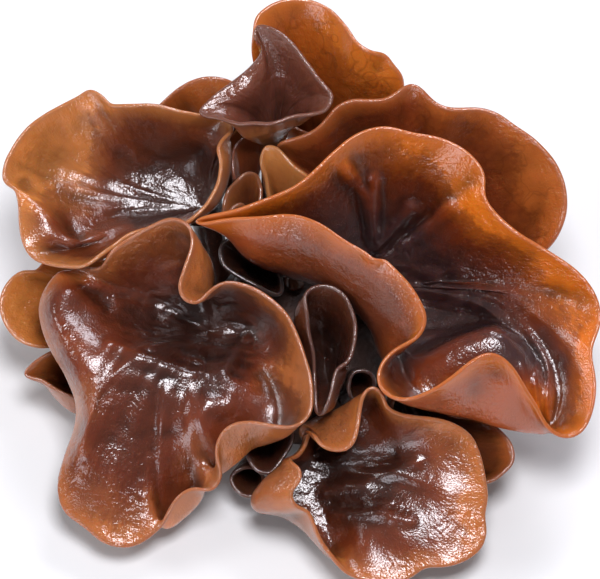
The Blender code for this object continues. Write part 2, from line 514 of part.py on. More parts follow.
# ----------------------------------------------------------------------
# Front right ear: a loose lobe that rests low at the front.
FRONT_RIGHT_EAR_RIBS = (
    ((0.2, -38.6, 23.6), (-3.8, -39.4, 17), (0, -38.4, 11.5)),
    ((0.2, -41, 22.6), (-6.4, -41.6, 15.5), (-1, -40, 10.5)),
    ((-1.9, -43.8, 21), (-9.2, -45, 12.4), (-1, -41.5, 9.6)),
    ((-1, -46.2, 19.4), (-9.4, -46.8, 10.4), (0, -43, 9)),
    ((1.8, -47.4, 18), (-4.6, -47.6, 9), (2, -43.6, 9)),
    ((3.2, -50.4, 16), (-0.4, -49.6, 7.8), (3.4, -44.4, 8.6)),
    ((4.8, -54.2, 13.6), (3.4, -52.6, 6.6), (5, -45, 8.6)),
    ((8, -58, 11), (7.4, -56.6, 6), (6.6, -46, 8.6)),
    ((10.2, -60.6, 9.2), (10.4, -55, 7.4), (8, -46.6, 9)),
    ((14.2, -62.2, 8.2), (13.6, -55.4, 9)),
    ((19, -62.7, 7.8), (16.4, -54, 10)),
    ((23.6, -61.8, 8), (19, -53, 11)),
    ((26.6, -59.7, 9), (21, -51.6, 12)),
    ((31, -59.5, 9), (23.6, -50, 12.6)),
    ((35.4, -58.2, 9.4), (26, -48.6, 13.2)),
    ((38.8, -55.6, 10.4), (28, -46.6, 14)),
    ((40, -51.8, 12), (29, -44.6, 15)),
    ((39.6, -48.4, 13.4), (29.4, -42.8, 16)),
    ((40.2, -45, 15.2), (29.4, -41, 16.6)),
    ((39.6, -40.4, 17.4), (28.6, -39.4, 17)),
    ((38.6, -36, 19.6), (27.4, -37.6, 17.6)),
    ((36.6, -31.9, 22), (25.6, -36, 18.2)),
    ((33, -29.4, 24), (24, -34.6, 18.6)),
    ((28.8, -28.3, 25.6), (22, -33.6, 18.6)),
    ((24.6, -27.8, 27), (20, -33, 18.4)),
    ((20.8, -27, 28.4), (18, -31.6, 18.6)),
    ((18, -25.2, 30.6), (16.4, -29, 19.6)),
    ((17, -22.8, 32), (15, -27.6, 20)),
    ((15.6, -21.4, 32.6), (13.8, -27, 20)),
    ((14.2, -22.8, 32), (11.6, -26.4, 21.6), (11, -31, 14)),
    ((13.3, -26, 29.8), (9.8, -26.8, 21), (9.6, -31, 13.6)),
    ((13, -29.6, 28.2), (8, -27.6, 20), (8.4, -31, 13.2)),
    ((12.2, -32.6, 26.8), (6.4, -28.4, 19.4), (7.4, -31.4, 12.8)),
    ((10, -34.7, 25.8), (4.6, -28.6, 18.8), (6.4, -32, 12.4)),
    ((7, -34.9, 25.2), (3.2, -29.4, 18.2), (5.4, -32.6, 12)),
    ((4.2, -33.7, 24.8), (1.6, -30, 17.8), (4.6, -33.2, 11.8)),
    ((2.4, -30.6, 24.4), (0.8, -30.8, 18), (4, -34, 11.6)),
    ((2, -31.6, 20.6), (1.8, -32, 16.4), (3.6, -35, 11.4)),
    ((1.4, -33.8, 17.4), (1.6, -34.4, 14), (3.2, -36, 11.4)),
    ((-0.2, -35.8, 18.4), (0, -36.4, 14), (2.6, -37, 11.4)),
    ((-1.8, -37, 22.4), (-2.8, -37.8, 17), (1.4, -37.6, 11.4)),
)
ear(
    "front_right_ear",
    throat=(7, -38, 11),
    ribs=FRONT_RIGHT_EAR_RIBS,
    columns=38,
    rings=5,
    stalk_radius=3.6,
    foot_spot=(285, 25),
    tint=(0.18, 0.055, 0.018),
)

# ----------------------------------------------------------------------
# Centre curl ear: a small upright curl beside the front ears.
CENTRE_CURL_EAR_RIBS = (
    ((3.4, -14, 31), (1.8, -13.4, 24.6)),
    ((2.4, -9, 34), (1, -9.8, 28.4), (2.6, -12.6, 22.4)),
    ((1.9, -4.6, 36.8), (0, -6.6, 31), (2.6, -11.6, 23)),
    ((1.6, -1.2, 38), (0.6, -4, 32), (3.2, -10.8, 23.4)),
    ((3.8, 0.4, 38.2), (3.6, -4.6, 31), (4.4, -10.4, 23)),
    ((6.6, 0.3, 38), (6.6, -5, 31), (5.6, -10.4, 23)),
    ((9.2, -1.4, 37.4), (8.4, -7, 30.4)),
    ((10.8, -4.4, 36.6), (9.2, -9.2, 29.4)),
    ((11.5, -8, 36), (9.6, -11.2, 28.4)),
    ((11.2, -12, 35), (9.4, -13.4, 27.4)),
    ((10, -15.2, 34.2), (9, -15.6, 26.6)),
    ((7.6, -16.8, 34), (8.8, -18, 26.6)),
    ((6.6, -19.6, 33.2), (7.6, -21, 25.8)),
    ((6, -23, 32), (6.8, -23.6, 25.4)),
    ((5, -26, 30.6), (5.8, -25, 25)),
    ((4.2, -26.6, 29.2), (4.6, -24, 24)),
    ((3.8, -23.4, 28), (4, -21.4, 23)),
    ((3.6, -18.6, 28.6), (3.2, -17.4, 23)),
)
ear(
    "centre_curl_ear",
    throat=(5.4, -15, 18),
    ribs=CENTRE_CURL_EAR_RIBS,
    columns=20,
    rings=4,
    stalk_radius=2.8,
    foot_spot=(300, 50),
    tint=(0.12, 0.035, 0.014),
)

# ----------------------------------------------------------------------
# Right under ear: a low lobe below the cup.
RIGHT_UNDER_EAR_RIBS = (
    ((22, -22.4, 17.6), (22, -21.6, 14)),
    ((26, -24.6, 17.4), (25, -23.2, 14)),
    ((31, -26.8, 17), (28, -25.4, 13.2)),
    ((35.6, -28.2, 17), (30.6, -27.4, 12.6)),
    ((39.6, -28.6, 17), (33, -29, 12.2)),
    ((43.4, -31, 16.8), (35.6, -31.4, 12)),
    ((45.6, -34, 16.4), (37, -33.6, 11.4)),
    ((45.8, -37, 15.6), (40, -37.6, 10.6), (33, -32, 9.6)),
    ((43.6, -39.6, 14.6), (40, -40.2, 9.2), (31, -31.6, 8.8)),
    ((40, -41.6, 13.6), (36.6, -40.6, 8), (28, -30, 8.2)),
    ((34, -40.6, 12.4), (30, -36, 7.4)),
    ((28, -36.4, 12), (26, -31.4, 7.6)),
    ((23, -31, 12.6), (22.6, -27, 8.6)),
    ((20.4, -25.6, 15), (20.6, -23.4, 11)),
)
ear(
    "right_under_ear",
    throat=(21, -20, 11),
    ribs=RIGHT_UNDER_EAR_RIBS,
    columns=14,
    rings=3,
    stalk_radius=2.4,
    foot_spot=(325, 22),
    tint=(0.12, 0.035, 0.014),
)

# ----------------------------------------------------------------------
# Left small ear: a low tongue at the far left.
LEFT_SMALL_EAR_RIBS = (
    ((-50, 7, 24.6), (-42, 4, 18)),
    ((-55.4, 6.2, 24.6), (-47, 3, 18)),
    ((-57.4, 3.8, 24.2), (-49, 1.4, 17.4)),
    ((-61.2, 3.3, 23.6), (-51, 0.4, 17)),
    ((-64, 0.8, 22.6), (-52.4, -1, 16.6)),
    ((-65.2, -2.8, 21.4), (-52.6, -3, 16)),
    ((-64, -7.4, 19.8), (-51.6, -5, 15.2)),
    ((-61.2, -10.8, 18.4), (-50, -6.6, 14.4)),
    ((-57.2, -12.2, 17.4), (-47.4, -7.6, 13.6)),
    ((-52, -11.4, 16.6), (-44, -7.4, 13)),
    ((-44, -9, 15), (-38, -6, 12.4)),
    ((-36, -4, 14.6),),
    ((-36, 2, 16.6),),
    ((-42, 6, 21),),
)
ear(
    "left_small_ear",
    throat=(-30, -1, 12.5),
    ribs=LEFT_SMALL_EAR_RIBS,
    columns=14,
    rings=3,
    stalk_radius=2.4,
    foot_spot=(170, 22),
    tint=(0.14, 0.042, 0.015),
)

# ----------------------------------------------------------------------
# Left tip ear: a small pointed lobe under the left front ear.
LEFT_TIP_EAR_RIBS = (
    ((-50, -13, 17.6), (-42, -13.6, 11.6)),
    ((-54.4, -14.2, 17.4), (-46, -15.4, 11)),
    ((-57.6, -16.2, 16.4), (-48.6, -17.2, 10.2)),
    ((-59.8, -18.5, 15), (-52, -19.6, 9.6)),
    ((-56.6, -19.2, 14.4), (-53.4, -21, 8.4)),
    ((-53, -21.4, 13.6), (-51.6, -24, 6.6), (-42, -20, 6.4)),
    ((-49.6, -23, 13), (-48.6, -26.6, 6), (-39, -21, 6)),
    ((-44.6, -23, 12.4), (-43, -25, 6), (-36, -20.4, 6.2)),
    ((-38, -19.6, 12), (-35, -19.6, 7.6)),
    ((-34, -13.6, 12.6),),
    ((-40, -11.6, 14.6),),
)
ear(
    "left_tip_ear",
    throat=(-27, -14, 9.5),
    ribs=LEFT_TIP_EAR_RIBS,
    columns=14,
    rings=3,
    stalk_radius=2.2,
    foot_spot=(205, 16),
    tint=(0.14, 0.042, 0.015),
)

# ----------------------------------------------------------------------
# Back small ear: a thin lobe behind the left upper ear.
BACK_SMALL_EAR_RIBS = (
    ((-32.4, 38, 40), (-26, 32.6, 30)),
    ((-30, 40.4, 43), (-24.6, 34.4, 32.6)),
    ((-27, 43, 45.4), (-22.8, 36, 35.4)),
    ((-23.6, 45, 47.4), (-20, 36, 38)),
    ((-19.6, 45.9, 48), (-17.8, 36.4, 38.2)),
    ((-16, 45.3, 47.6), (-16, 36, 37.6)),
    ((-13.6, 44, 46), (-14.6, 35, 36)),
    ((-12.6, 41, 43), (-14, 33, 33.4)),
    ((-13.4, 36.6, 38), (-14, 29.6, 29.6)),
    ((-17, 32.4, 33.4),),
    ((-22, 31.4, 30),),
    ((-29, 34.4, 33),),
)
ear(
    "back_small_ear",
    throat=(-14, 23, 21),
    ribs=BACK_SMALL_EAR_RIBS,
    columns=14,
    rings=3,
    stalk_radius=2.4,
    foot_spot=(115, 25),
    tint=(0.16, 0.05, 0.018),
)

# ----------------------------------------------------------------------
# Centre tongue ear: a short bright tongue in the middle.
CENTRE_TONGUE_EAR_RIBS = (
    ((-8.2, 28.8, 43), (-6, 22, 35.4)),
    ((-7.4, 30.8, 44.4), (-5.4, 23.6, 38)),
    ((-5.5, 30.6, 45), (-4.4, 24, 39)),
    ((-3.6, 28.6, 44.6), (-3, 22.6, 38.2)),
    ((-1.6, 26.3, 43.6), (-1.6, 20.6, 36.4)),
    ((1, 24.4, 42.4), (0, 18.6, 34.4)),
    ((2.8, 21.8, 39.8), (0.8, 16.6, 31.4)),
    ((1.8, 17.8, 35),),
    ((-2, 15, 31),),
    ((-5.6, 16.4, 33),),
    ((-6.6, 20.4, 36.4), (-4.8, 17, 31)),
    ((-7.2, 25, 39.8), (-5.6, 19.6, 33)),
)
ear(
    "centre_tongue_ear",
    throat=(-2, 10.4, 21.6),
    ribs=CENTRE_TONGUE_EAR_RIBS,
    columns=14,
    rings=3,
    stalk_radius=2.2,
    foot_spot=(85, 68),
    tint=(0.34, 0.12, 0.03),
)

# ----------------------------------------------------------------------
# Centre roll ear: a short rolled ear beside the tongue.
CENTRE_ROLL_EAR_RIBS = (
    ((-16.2, 17.8, 39.6), (-13, 15.6, 34)),
    ((-15.1, 21.6, 40.6), (-12.8, 18, 35)),
    ((-13.6, 23.2, 41.8), (-12.2, 19.4, 36)),
    ((-11.6, 24.8, 42.4), (-11.4, 20, 36)),
    ((-9.8, 24.8, 41.4), (-10.6, 19.8, 35.6)),
    ((-9, 22.6, 39.6), (-10, 18, 34.2)),
    ((-9.6, 18.4, 37.6), (-10, 15.8, 32)),
    ((-11.2, 17.4, 37), (-11, 15.6, 31.6)),
    ((-12.6, 18.8, 38.6), (-11.8, 16.2, 32.6)),
    ((-14.6, 18.2, 39), (-12.6, 15.8, 33)),
    ((-16.4, 15.8, 37.8), (-12.4, 14, 31.4)),
)
ear(
    "centre_roll_ear",
    throat=(-9.4, 12, 24.4),
    ribs=CENTRE_ROLL_EAR_RIBS,
    columns=14,
    rings=3,
    stalk_radius=2.2,
    foot_spot=(150, 52),
    tint=(0.18, 0.055, 0.02),
)

# ----------------------------------------------------------------------
# Centre back ear: a small reddish ear at the back of the middle.
CENTRE_BACK_EAR_RIBS = (
    ((-14, 24, 34), (-12.6, 20.4, 28.4)),
    ((-14.4, 28, 36), (-13, 22.8, 30)),
    ((-13.8, 31.4, 36.4), (-12.6, 24.6, 31)),
    ((-11.4, 33.4, 36), (-11.6, 25.4, 31)),
    ((-8.4, 32.8, 34.4), (-10.6, 24.6, 29.6)),
    ((-7.4, 30.6, 32), (-10.4, 22.8, 27.6)),
    ((-8.4, 27.4, 29.4), (-10.6, 20.8, 26)),
    ((-9.6, 24.4, 27.6),),
    ((-12, 22, 28),),
)
ear(
    "centre_back_ear",
    throat=(-11.4, 17.6, 22),
    ribs=CENTRE_BACK_EAR_RIBS,
    columns=14,
    rings=3,
    stalk_radius=2.0,
    foot_spot=(118, 48),
    tint=(0.2, 0.06, 0.02),
)

# ----------------------------------------------------------------------
# Centre dark ear: a low wrinkled ear deep in the middle.
CENTRE_DARK_EAR_RIBS = (
    ((-16.6, 9.6, 31.6), (-12, 6.4, 25.6)),
    ((-12, 11, 32), (-10, 7.4, 26.6)),
    ((-8.4, 7.8, 29.6), (-8.2, 5.8, 24.8)),
    ((-6.2, 4.8, 27), (-6.6, 4, 22.6)),
    ((-4.6, 2, 24.8), (-5.6, 2.4, 21.6)),
    ((-4.6, -0.6, 25.2), (-5.6, 1, 21.6)),
    ((-8, 0.6, 28), (-7.4, 1.4, 22.8)),
    ((-13, 3.2, 29.4), (-10.4, 3, 23.8)),
    ((-16.4, 6, 30.6), (-12, 4.6, 24.8)),
)
ear(
    "centre_dark_ear",
    throat=(-8, 3, 19.2),
    ribs=CENTRE_DARK_EAR_RIBS,
    columns=14,
    rings=3,
    stalk_radius=2.4,
    foot_spot=(180, 72),
    tint=(0.08, 0.025, 0.012),
)

# ----------------------------------------------------------------------
# Centre round ear: a small round dark lobe.
CENTRE_ROUND_EAR_RIBS = (
    ((11, -22.2, 22), (11.2, -21, 17.6)),
    ((11, -20.2, 23), (11.2, -19.8, 18)),
    ((11.8, -18.4, 24), (11.6, -18.8, 18.6)),
    ((13.8, -18, 24), (12.8, -18.6, 18.6)),
    ((15.4, -19, 23), (13.8, -19.2, 17.8)),
    ((15.6, -21, 21.4), (14, -20.6, 17)),
    ((14, -22.8, 20.4),),
    ((11.6, -23.4, 20.8),),
)
ear(
    "centre_round_ear",
    throat=(12.2, -19.4, 13),
    ribs=CENTRE_ROUND_EAR_RIBS,
    columns=14,
    rings=3,
    stalk_radius=2.0,
    foot_spot=(310, 35),
    tint=(0.08, 0.025, 0.012),
)

# ----------------------------------------------------------------------
# Front small ear: a short dark lobe between the front ears.
FRONT_SMALL_EAR_RIBS = (
    ((-10.6, -33, 14.4), (-8.6, -32, 10.5)),
    ((-11.2, -35, 14), (-8.8, -33.4, 10)),
    ((-10.6, -37.2, 13.6), (-8.4, -34.6, 9.6)),
    ((-8.8, -39.2, 13), (-7.6, -35.6, 9.2)),
    ((-6.6, -39.4, 12.6), (-6.6, -35.4, 9)),
    ((-4.8, -37.6, 12.8), (-5.6, -34.2, 9)),
    ((-3.4, -35.4, 13.4), (-4.6, -32.8, 9.4)),
    ((-2.2, -33, 14.4), (-3.8, -31.4, 10)),
    ((-2, -30.4, 15.2), (-3.6, -29.8, 10.6)),
    ((-4, -29, 15.2), (-4.6, -28.6, 11)),
    ((-7, -29.6, 15), (-6.2, -29, 11)),
    ((-9.2, -31, 14.8), (-7.6, -30.4, 11)),
)
ear(
    "front_small_ear",
    throat=(-5, -29.6, 8),
    ribs=FRONT_SMALL_EAR_RIBS,
    columns=14,
    rings=3,
    stalk_radius=2.0,
    foot_spot=(263, 32),
    tint=(0.08, 0.025, 0.012),
)

# ----------------------------------------------------------------------
# Front curl ear: the smallest, a tiny curl at the front.
FRONT_CURL_EAR_RIBS = (
    ((-14.4, -41, 9.4), (-12, -39, 4.6)),
    ((-13.4, -43.2, 8.6), (-11.6, -40.2, 4)),
    ((-11.6, -44.4, 8), (-10.8, -40.8, 3.8)),
    ((-9.8, -44.2, 7.8), (-9.8, -40.4, 3.8)),
    ((-8.6, -42.4, 8), (-9, -39.2, 4)),
    ((-8.8, -40.4, 8.2), (-9.2, -38, 4.4)),
    ((-10, -39.4, 8.6), (-9.9, -37.4, 4.8)),
    ((-12.4, -39.4, 9.6), (-11, -37.6, 5.2)),
)
ear(
    "front_curl_ear",
    throat=(-9.6, -35.4, 4),
    ribs=FRONT_CURL_EAR_RIBS,
    columns=14,
    rings=3,
    stalk_radius=1.8,
    foot_spot=(250, 15),
    tint=(0.08, 0.025, 0.012),
)
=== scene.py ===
"""A clump of fresh wood ear mushroom, finished: wet, wrinkled, translucent brown ears on one foot.

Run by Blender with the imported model. Every ear is a surface worked out from its own ribs, which run
from the rim down to the throat, and it rides where its plain solid stands.
"""

import math

import bpy
import numpy as np
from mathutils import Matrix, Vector


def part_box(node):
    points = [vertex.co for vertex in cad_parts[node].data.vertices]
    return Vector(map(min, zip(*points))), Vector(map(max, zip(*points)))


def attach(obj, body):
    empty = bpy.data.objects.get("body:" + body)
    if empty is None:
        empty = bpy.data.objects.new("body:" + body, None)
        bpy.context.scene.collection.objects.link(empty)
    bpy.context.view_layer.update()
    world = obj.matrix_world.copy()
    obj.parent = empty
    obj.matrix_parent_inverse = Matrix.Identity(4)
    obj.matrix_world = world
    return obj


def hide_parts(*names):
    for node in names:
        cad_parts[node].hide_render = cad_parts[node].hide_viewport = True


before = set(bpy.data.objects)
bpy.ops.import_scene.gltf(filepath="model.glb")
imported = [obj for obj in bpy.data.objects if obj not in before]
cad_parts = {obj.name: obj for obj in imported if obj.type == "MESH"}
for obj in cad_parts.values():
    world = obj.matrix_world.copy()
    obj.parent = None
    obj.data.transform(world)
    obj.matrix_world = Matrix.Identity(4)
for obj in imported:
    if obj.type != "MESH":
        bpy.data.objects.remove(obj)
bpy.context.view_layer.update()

# ----------------------------------------
# Table, light and camera: a pale plain table under a soft lamp overhead, three weaker ones at the
# back, left and front, and a pale sky. The camera looks down at the clump at 60 degrees.

TABLE_REACH = 3.0
TABLE_COLOUR = (0.78, 0.775, 0.765)
TABLE_ROUGHNESS = 0.7
LOOK_AT = Vector((0.0002, 0.0021, 0.030))
CAMERA_TILT = math.radians(60)
CAMERA_AWAY = 1.2
VIEW_WIDTH = 0.1304
SENSOR_WIDTH = 36.0
CAMERA_SEES = 10.0
SKY_COLOUR = (0.93, 0.96, 1.0)
SKY_STRENGTH = 0.16


def soft_light(name, place, size, power, colour):
    """A square lamp of this size at this place, aimed at the clump."""
    lamp = bpy.data.lights.new(name, "AREA")
    lamp.size = size
    lamp.energy = power
    lamp.color = colour
    held = bpy.data.objects.new(name, lamp)
    held.location = place
    held.rotation_euler = (LOOK_AT - Vector(place)).to_track_quat("-Z", "Y").to_euler()
    bpy.context.scene.collection.objects.link(held)


soft_light("key_light", (0.06, -0.14, 0.84), 0.28, 6.4, (0.94, 0.94, 1.0))
soft_light("back_light", (0.20, 0.46, 0.58), 0.26, 2.6, (0.90, 0.91, 1.0))
soft_light("left_light", (-0.62, 0.02, 0.42), 0.22, 1.3, (0.95, 0.96, 1.0))
soft_light("front_light", (-0.36, -0.62, 0.27), 0.32, 1.5, (0.90, 0.91, 1.0))

sky = bpy.data.worlds.new("pale_sky")
sky.use_nodes = True
sky_light = sky.node_tree.nodes["Background"]
sky_light.inputs["Color"].default_value = (*SKY_COLOUR, 1.0)
sky_light.inputs["Strength"].default_value = SKY_STRENGTH
bpy.context.scene.world = sky
bpy.context.scene.view_settings.view_transform = "Standard"

camera = bpy.data.objects.new("camera", bpy.data.cameras.new("camera"))
camera.data.sensor_width = SENSOR_WIDTH
camera.data.lens = SENSOR_WIDTH * CAMERA_AWAY / VIEW_WIDTH
camera.data.clip_end = CAMERA_SEES
sight = Vector((0.0, -math.cos(CAMERA_TILT), math.sin(CAMERA_TILT)))
camera.location = LOOK_AT + sight * CAMERA_AWAY
camera.rotation_euler = (-sight).to_track_quat("-Z", "Y").to_euler()
bpy.context.scene.collection.objects.link(camera)
bpy.context.scene.camera = camera

table_mesh = bpy.data.meshes.new("table")
corners = [(-1, -1, 0), (1, -1, 0), (1, 1, 0), (-1, 1, 0)]
table_mesh.from_pydata([tuple(TABLE_REACH * c for c in corner) for corner in corners], [], [(0, 1, 2, 3)])
table_paint = bpy.data.materials.new("pale_table")
table_paint.use_nodes = True
table_shader = table_paint.node_tree.nodes["Principled BSDF"]
table_shader.inputs["Base Color"].default_value = (*TABLE_COLOUR, 1.0)
table_shader.inputs["Roughness"].default_value = TABLE_ROUGHNESS
table_mesh.materials.append(table_paint)
table = bpy.data.objects.new("table", table_mesh)
bpy.context.scene.collection.objects.link(table)

# ----------------------------------------
# Foot: the pad of flesh all the ears share. It is dark, rough and torn looking, a low lumpy dome
# with a flat cut underneath where it came off the wood.

MM = 0.001
FOOT_TURNS = 240
FOOT_RISES = 70
FOOT_CROWDING = 0.8  # below 1, the foot's rings crowd together at its top
FOOT_SHARE = 0.97  # of the plain foot's half width and half depth
FOOT_HEIGHT_SHARE = 0.98
FOOT_LUMPS = (0.03, 9.0, 11)  # share of the radius, cell in millimetres, seed
FOOT_DARK = (0.018, 0.006, 0.004)
FOOT_BROWN = (0.05, 0.017, 0.009)
FOOT_PALE = (0.12, 0.045, 0.02)
LATTICE_HEIGHTS = 4096
LATTICE_MIX = (73856093, 19349663, 83492791)


def value_noise(points, cell, seed):
    """Smooth noise from -1 to 1: random heights on a cubic lattice of this cell, blended between its
    eight nearest corners with an S-shaped ease along each axis."""
    heights = np.random.default_rng(seed).uniform(-1.0, 1.0, LATTICE_HEIGHTS)
    scaled = points / cell
    corner = np.floor(scaled).astype(np.int64)
    part = scaled - corner
    ease = part * part * part * (part * (part * 6 - 15) + 10)
    total = np.zeros(points.shape[:-1])
    for dx in (0, 1):
        for dy in (0, 1):
            for dz in (0, 1):
                x, y, z = corner[..., 0] + dx, corner[..., 1] + dy, corner[..., 2] + dz
                slot = (x * LATTICE_MIX[0] ^ y * LATTICE_MIX[1] ^ z * LATTICE_MIX[2]) % LATTICE_HEIGHTS
                weight = np.where(dx, ease[..., 0], 1 - ease[..., 0])
                weight = weight * np.where(dy, ease[..., 1], 1 - ease[..., 1])
                weight = weight * np.where(dz, ease[..., 2], 1 - ease[..., 2])
                total += heights[slot] * weight
    return total


def crumple(points, cell, seed, octaves=3):
    """Noise of several sizes: each octave has half the cell and half the height of the last."""
    total = np.zeros(points.shape[:-1])
    for octave in range(octaves):
        total += value_noise(points, cell * 0.5**octave, seed + octave) * 0.5**octave
    return total


def skin_faces(rings, columns):
    """Faces of a skin of closed rings: quads between rings, and a fan of triangles at either end."""
    column = np.arange(columns)
    after = (column + 1) % columns
    ring = np.arange(rings - 1)[:, None] * columns
    quads = np.stack([ring + column, ring + columns + column, ring + columns + after, ring + after], -1)
    first = np.stack([np.full(columns, rings * columns), column, after], -1)
    end = (rings - 1) * columns
    last = np.stack([np.full(columns, rings * columns + 1), end + after, end + column], -1)
    return quads.reshape(-1, 4), np.concatenate([first, last])


def make_skin(name, rings, first_pole, last_pole, marks, material):
    """A smooth mesh object from rings of points in millimetres. Each of its marks gives every point a
    number or a vector, which the material reads."""
    count, columns, _ = rings.shape
    quads, fans = skin_faces(count, columns)
    points = np.concatenate([rings.reshape(-1, 3), [first_pole, last_pole]]) * MM
    mesh = bpy.data.meshes.new(name)
    mesh.vertices.add(len(points))
    mesh.vertices.foreach_set("co", points.astype(np.float32).ravel())
    mesh.loops.add(quads.size + fans.size)
    mesh.loops.foreach_set("vertex_index", np.concatenate([quads.ravel(), fans.ravel()]).astype(np.int32))
    mesh.polygons.add(len(quads) + len(fans))
    sizes = np.concatenate([np.full(len(quads), 4), np.full(len(fans), 3)])
    mesh.polygons.foreach_set("loop_start", np.concatenate([[0], np.cumsum(sizes)[:-1]]).astype(np.int32))
    mesh.update(calc_edges=True)
    mesh.validate()
    mesh.polygons.foreach_set("use_smooth", np.ones(len(mesh.polygons), bool))
    for mark, values in marks.items():
        vector = values.ndim == 3
        layer = mesh.attributes.new(mark, "FLOAT_VECTOR" if vector else "FLOAT", "POINT")
        ends = np.stack([values[0].mean(axis=0), values[-1].mean(axis=0)])
        flat = np.concatenate([values.reshape(-1, 3) if vector else values.ravel(), ends])
        layer.data.foreach_set("vector" if vector else "value", flat.astype(np.float32).ravel())
    mesh.materials.append(material)
    made = bpy.data.objects.new(name, mesh)
    bpy.context.scene.collection.objects.link(made)
    return made


def new_node(tree, kind, **sockets):
    """A shader node with these sockets set to a value or linked from another node's output. A socket
    is given by its name, or by i and its number."""
    made = tree.nodes.new(kind)
    for socket, value in sockets.items():
        target = made.inputs[int(socket[1:]) if socket[0] == "i" else socket]
        if isinstance(value, bpy.types.NodeSocket):
            tree.links.new(value, target)
        else:
            target.default_value = value
    return made


def ramp(tree, factor, *stops):
    """A colour ramp: each stop is a place from 0 to 1 and a colour or a grey level."""
    made = tree.nodes.new("ShaderNodeValToRGB")
    tree.links.new(factor, made.inputs["Fac"])
    elements = made.color_ramp.elements
    while len(elements) < len(stops):
        elements.new(0.5)
    for element, (place, colour) in zip(elements, stops):
        element.position = place
        element.color = (*colour, 1.0) if isinstance(colour, tuple) else (colour, colour, colour, 1.0)
    return made.outputs["Color"]


def maths(tree, kind, first, second=0.5, third=0.0, clamp=False):
    """One step of arithmetic on numbers or outputs."""
    made = new_node(tree, "ShaderNodeMath", i0=first, i1=second, i2=third)
    made.operation = kind
    made.use_clamp = clamp
    return made.outputs[0]


def mixed(tree, factor, first, second, kind="MIX"):
    """Two colours mixed by a factor."""
    made = tree.nodes.new("ShaderNodeMix")
    made.data_type = "RGBA"
    made.blend_type = kind
    for number, value in ((0, factor), (6, first), (7, second)):
        if isinstance(value, bpy.types.NodeSocket):
            tree.links.new(value, made.inputs[number])
        elif number == 0:
            made.inputs[number].default_value = value
        else:
            made.inputs[number].default_value = (*value, 1.0)
    return made.outputs[2]


def foot_material():
    """Dark brown torn flesh: mottled colour, dull with damp patches, and a coarse crumbled bump."""
    material = bpy.data.materials.new("foot_flesh")
    material.use_nodes = True
    tree = material.node_tree
    shader = tree.nodes["Principled BSDF"]
    place = tree.nodes.new("ShaderNodeTexCoord").outputs["Object"]
    blotch = new_node(tree, "ShaderNodeTexNoise", Vector=place, Scale=180.0, Detail=6.0).outputs["Fac"]
    grain = new_node(tree, "ShaderNodeTexNoise", Vector=place, Scale=900.0, Detail=8.0).outputs["Fac"]
    colour = ramp(tree, blotch, (0.3, FOOT_DARK), (0.55, FOOT_BROWN), (0.8, FOOT_PALE))
    tree.links.new(colour, shader.inputs["Base Color"])
    tree.links.new(ramp(tree, grain, (0.3, 0.35), (0.7, 0.7)), shader.inputs["Roughness"])
    bump = new_node(tree, "ShaderNodeBump", Strength=0.6, Distance=0.0006, Height=grain)
    tree.links.new(bump.outputs["Normal"], shader.inputs["Normal"])
    return material


foot_low, foot_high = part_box("foot")
foot_middle = np.array([(foot_low[0] + foot_high[0]) / 2, (foot_low[1] + foot_high[1]) / 2]) / MM
foot_reach = np.array([(foot_high[0] - foot_low[0]) / 2, (foot_high[1] - foot_low[1]) / 2]) / MM
foot_height = foot_high[2] / MM
foot_turn = 2 * math.pi * np.arange(FOOT_TURNS) / FOOT_TURNS
foot_rise = 0.5 * math.pi * (np.arange(FOOT_RISES) / FOOT_RISES) ** FOOT_CROWDING
foot_turn, foot_rise = np.meshgrid(foot_turn, foot_rise)
foot_rings = np.stack(
    [
        foot_middle[0] + FOOT_SHARE * foot_reach[0] * np.cos(foot_rise) * np.cos(foot_turn),
        foot_middle[1] + FOOT_SHARE * foot_reach[1] * np.cos(foot_rise) * np.sin(foot_turn),
        FOOT_HEIGHT_SHARE * foot_height * np.sin(foot_rise),
    ],
    axis=-1,
)
foot_lump, foot_cell, foot_seed = FOOT_LUMPS
foot_swell = 1 + foot_lump * crumple(foot_rings, foot_cell, foot_seed) * np.cos(foot_rise)
foot_rings[..., :2] = foot_middle + (foot_rings[..., :2] - foot_middle) * foot_swell[..., None]
foot_rings = foot_rings[::-1]
foot = make_skin(
    "foot_finished",
    foot_rings,
    np.array([*foot_middle, FOOT_HEIGHT_SHARE * foot_height]),
    np.array([*foot_middle, 0.0]),
    {},
    foot_material(),
)
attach(foot, "root")
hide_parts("foot")

# ----------------------------------------
# Right cup ear: a long bowl whose near wall leans in over its own hollow. Wet jelly-like flesh,
# dark in the hollow and amber at the rim, that narrows to a stalk on the foot.

# Lengths are in millimetres. The ribs' points are (across, up the tilted face, height).
SHEET = 1.5  # thickness of the flesh
FACE_HEIGHT = 30.0  # height at which the tilted face crosses the clump
SHIFT = (0.2, 2.1)  # where the face's middle stands
TINY = 1e-12  # keeps a division by a length of nothing from failing
EASE_PASSES = 6  # over the bare sheet
CREASE_PASSES = 6  # for the smooth sheet that creases are measured against
CALM_PASSES = 10  # over the directions in which the outer side stands off
WAVES_AT_THROAT = 2.0
WAVES_AT_RIM = 110.0
WAVE_GROWTH = 1.7  # above 1, short waves come in late on the way to the rim
SEED_STEP = 20
LUMP_CELLS = (11.0, 4.2, 2.6)  # of the big lumps, the fine lumps and the throat's puckers
PUCKER_STRETCH = np.array([0.45, 1.0, 1.0])
RAY_SHAPE = (7.0, 2.2)  # how often the rays that run to the rim change, round the ear and along it
LEVEL_THROAT = 0.25  # share of the reach over which the relief starts
RIM_SHARE = 0.6  # the rim's thickness, as a share of the sheet's
RIM_DEPTH = 5.0  # how far in from the rim the sheet is full
RIM_STEPS = 5
OUTER_SHARE = 0.74  # of the rings that the outer side has before the stalk starts
STRAND_STRETCH = 2.2  # how much longer than broad the strands are
STALK_STEPS = 14
STALK_START = (2.5, 0.45)  # the stalk starts this far under the throat, or at this share of its length
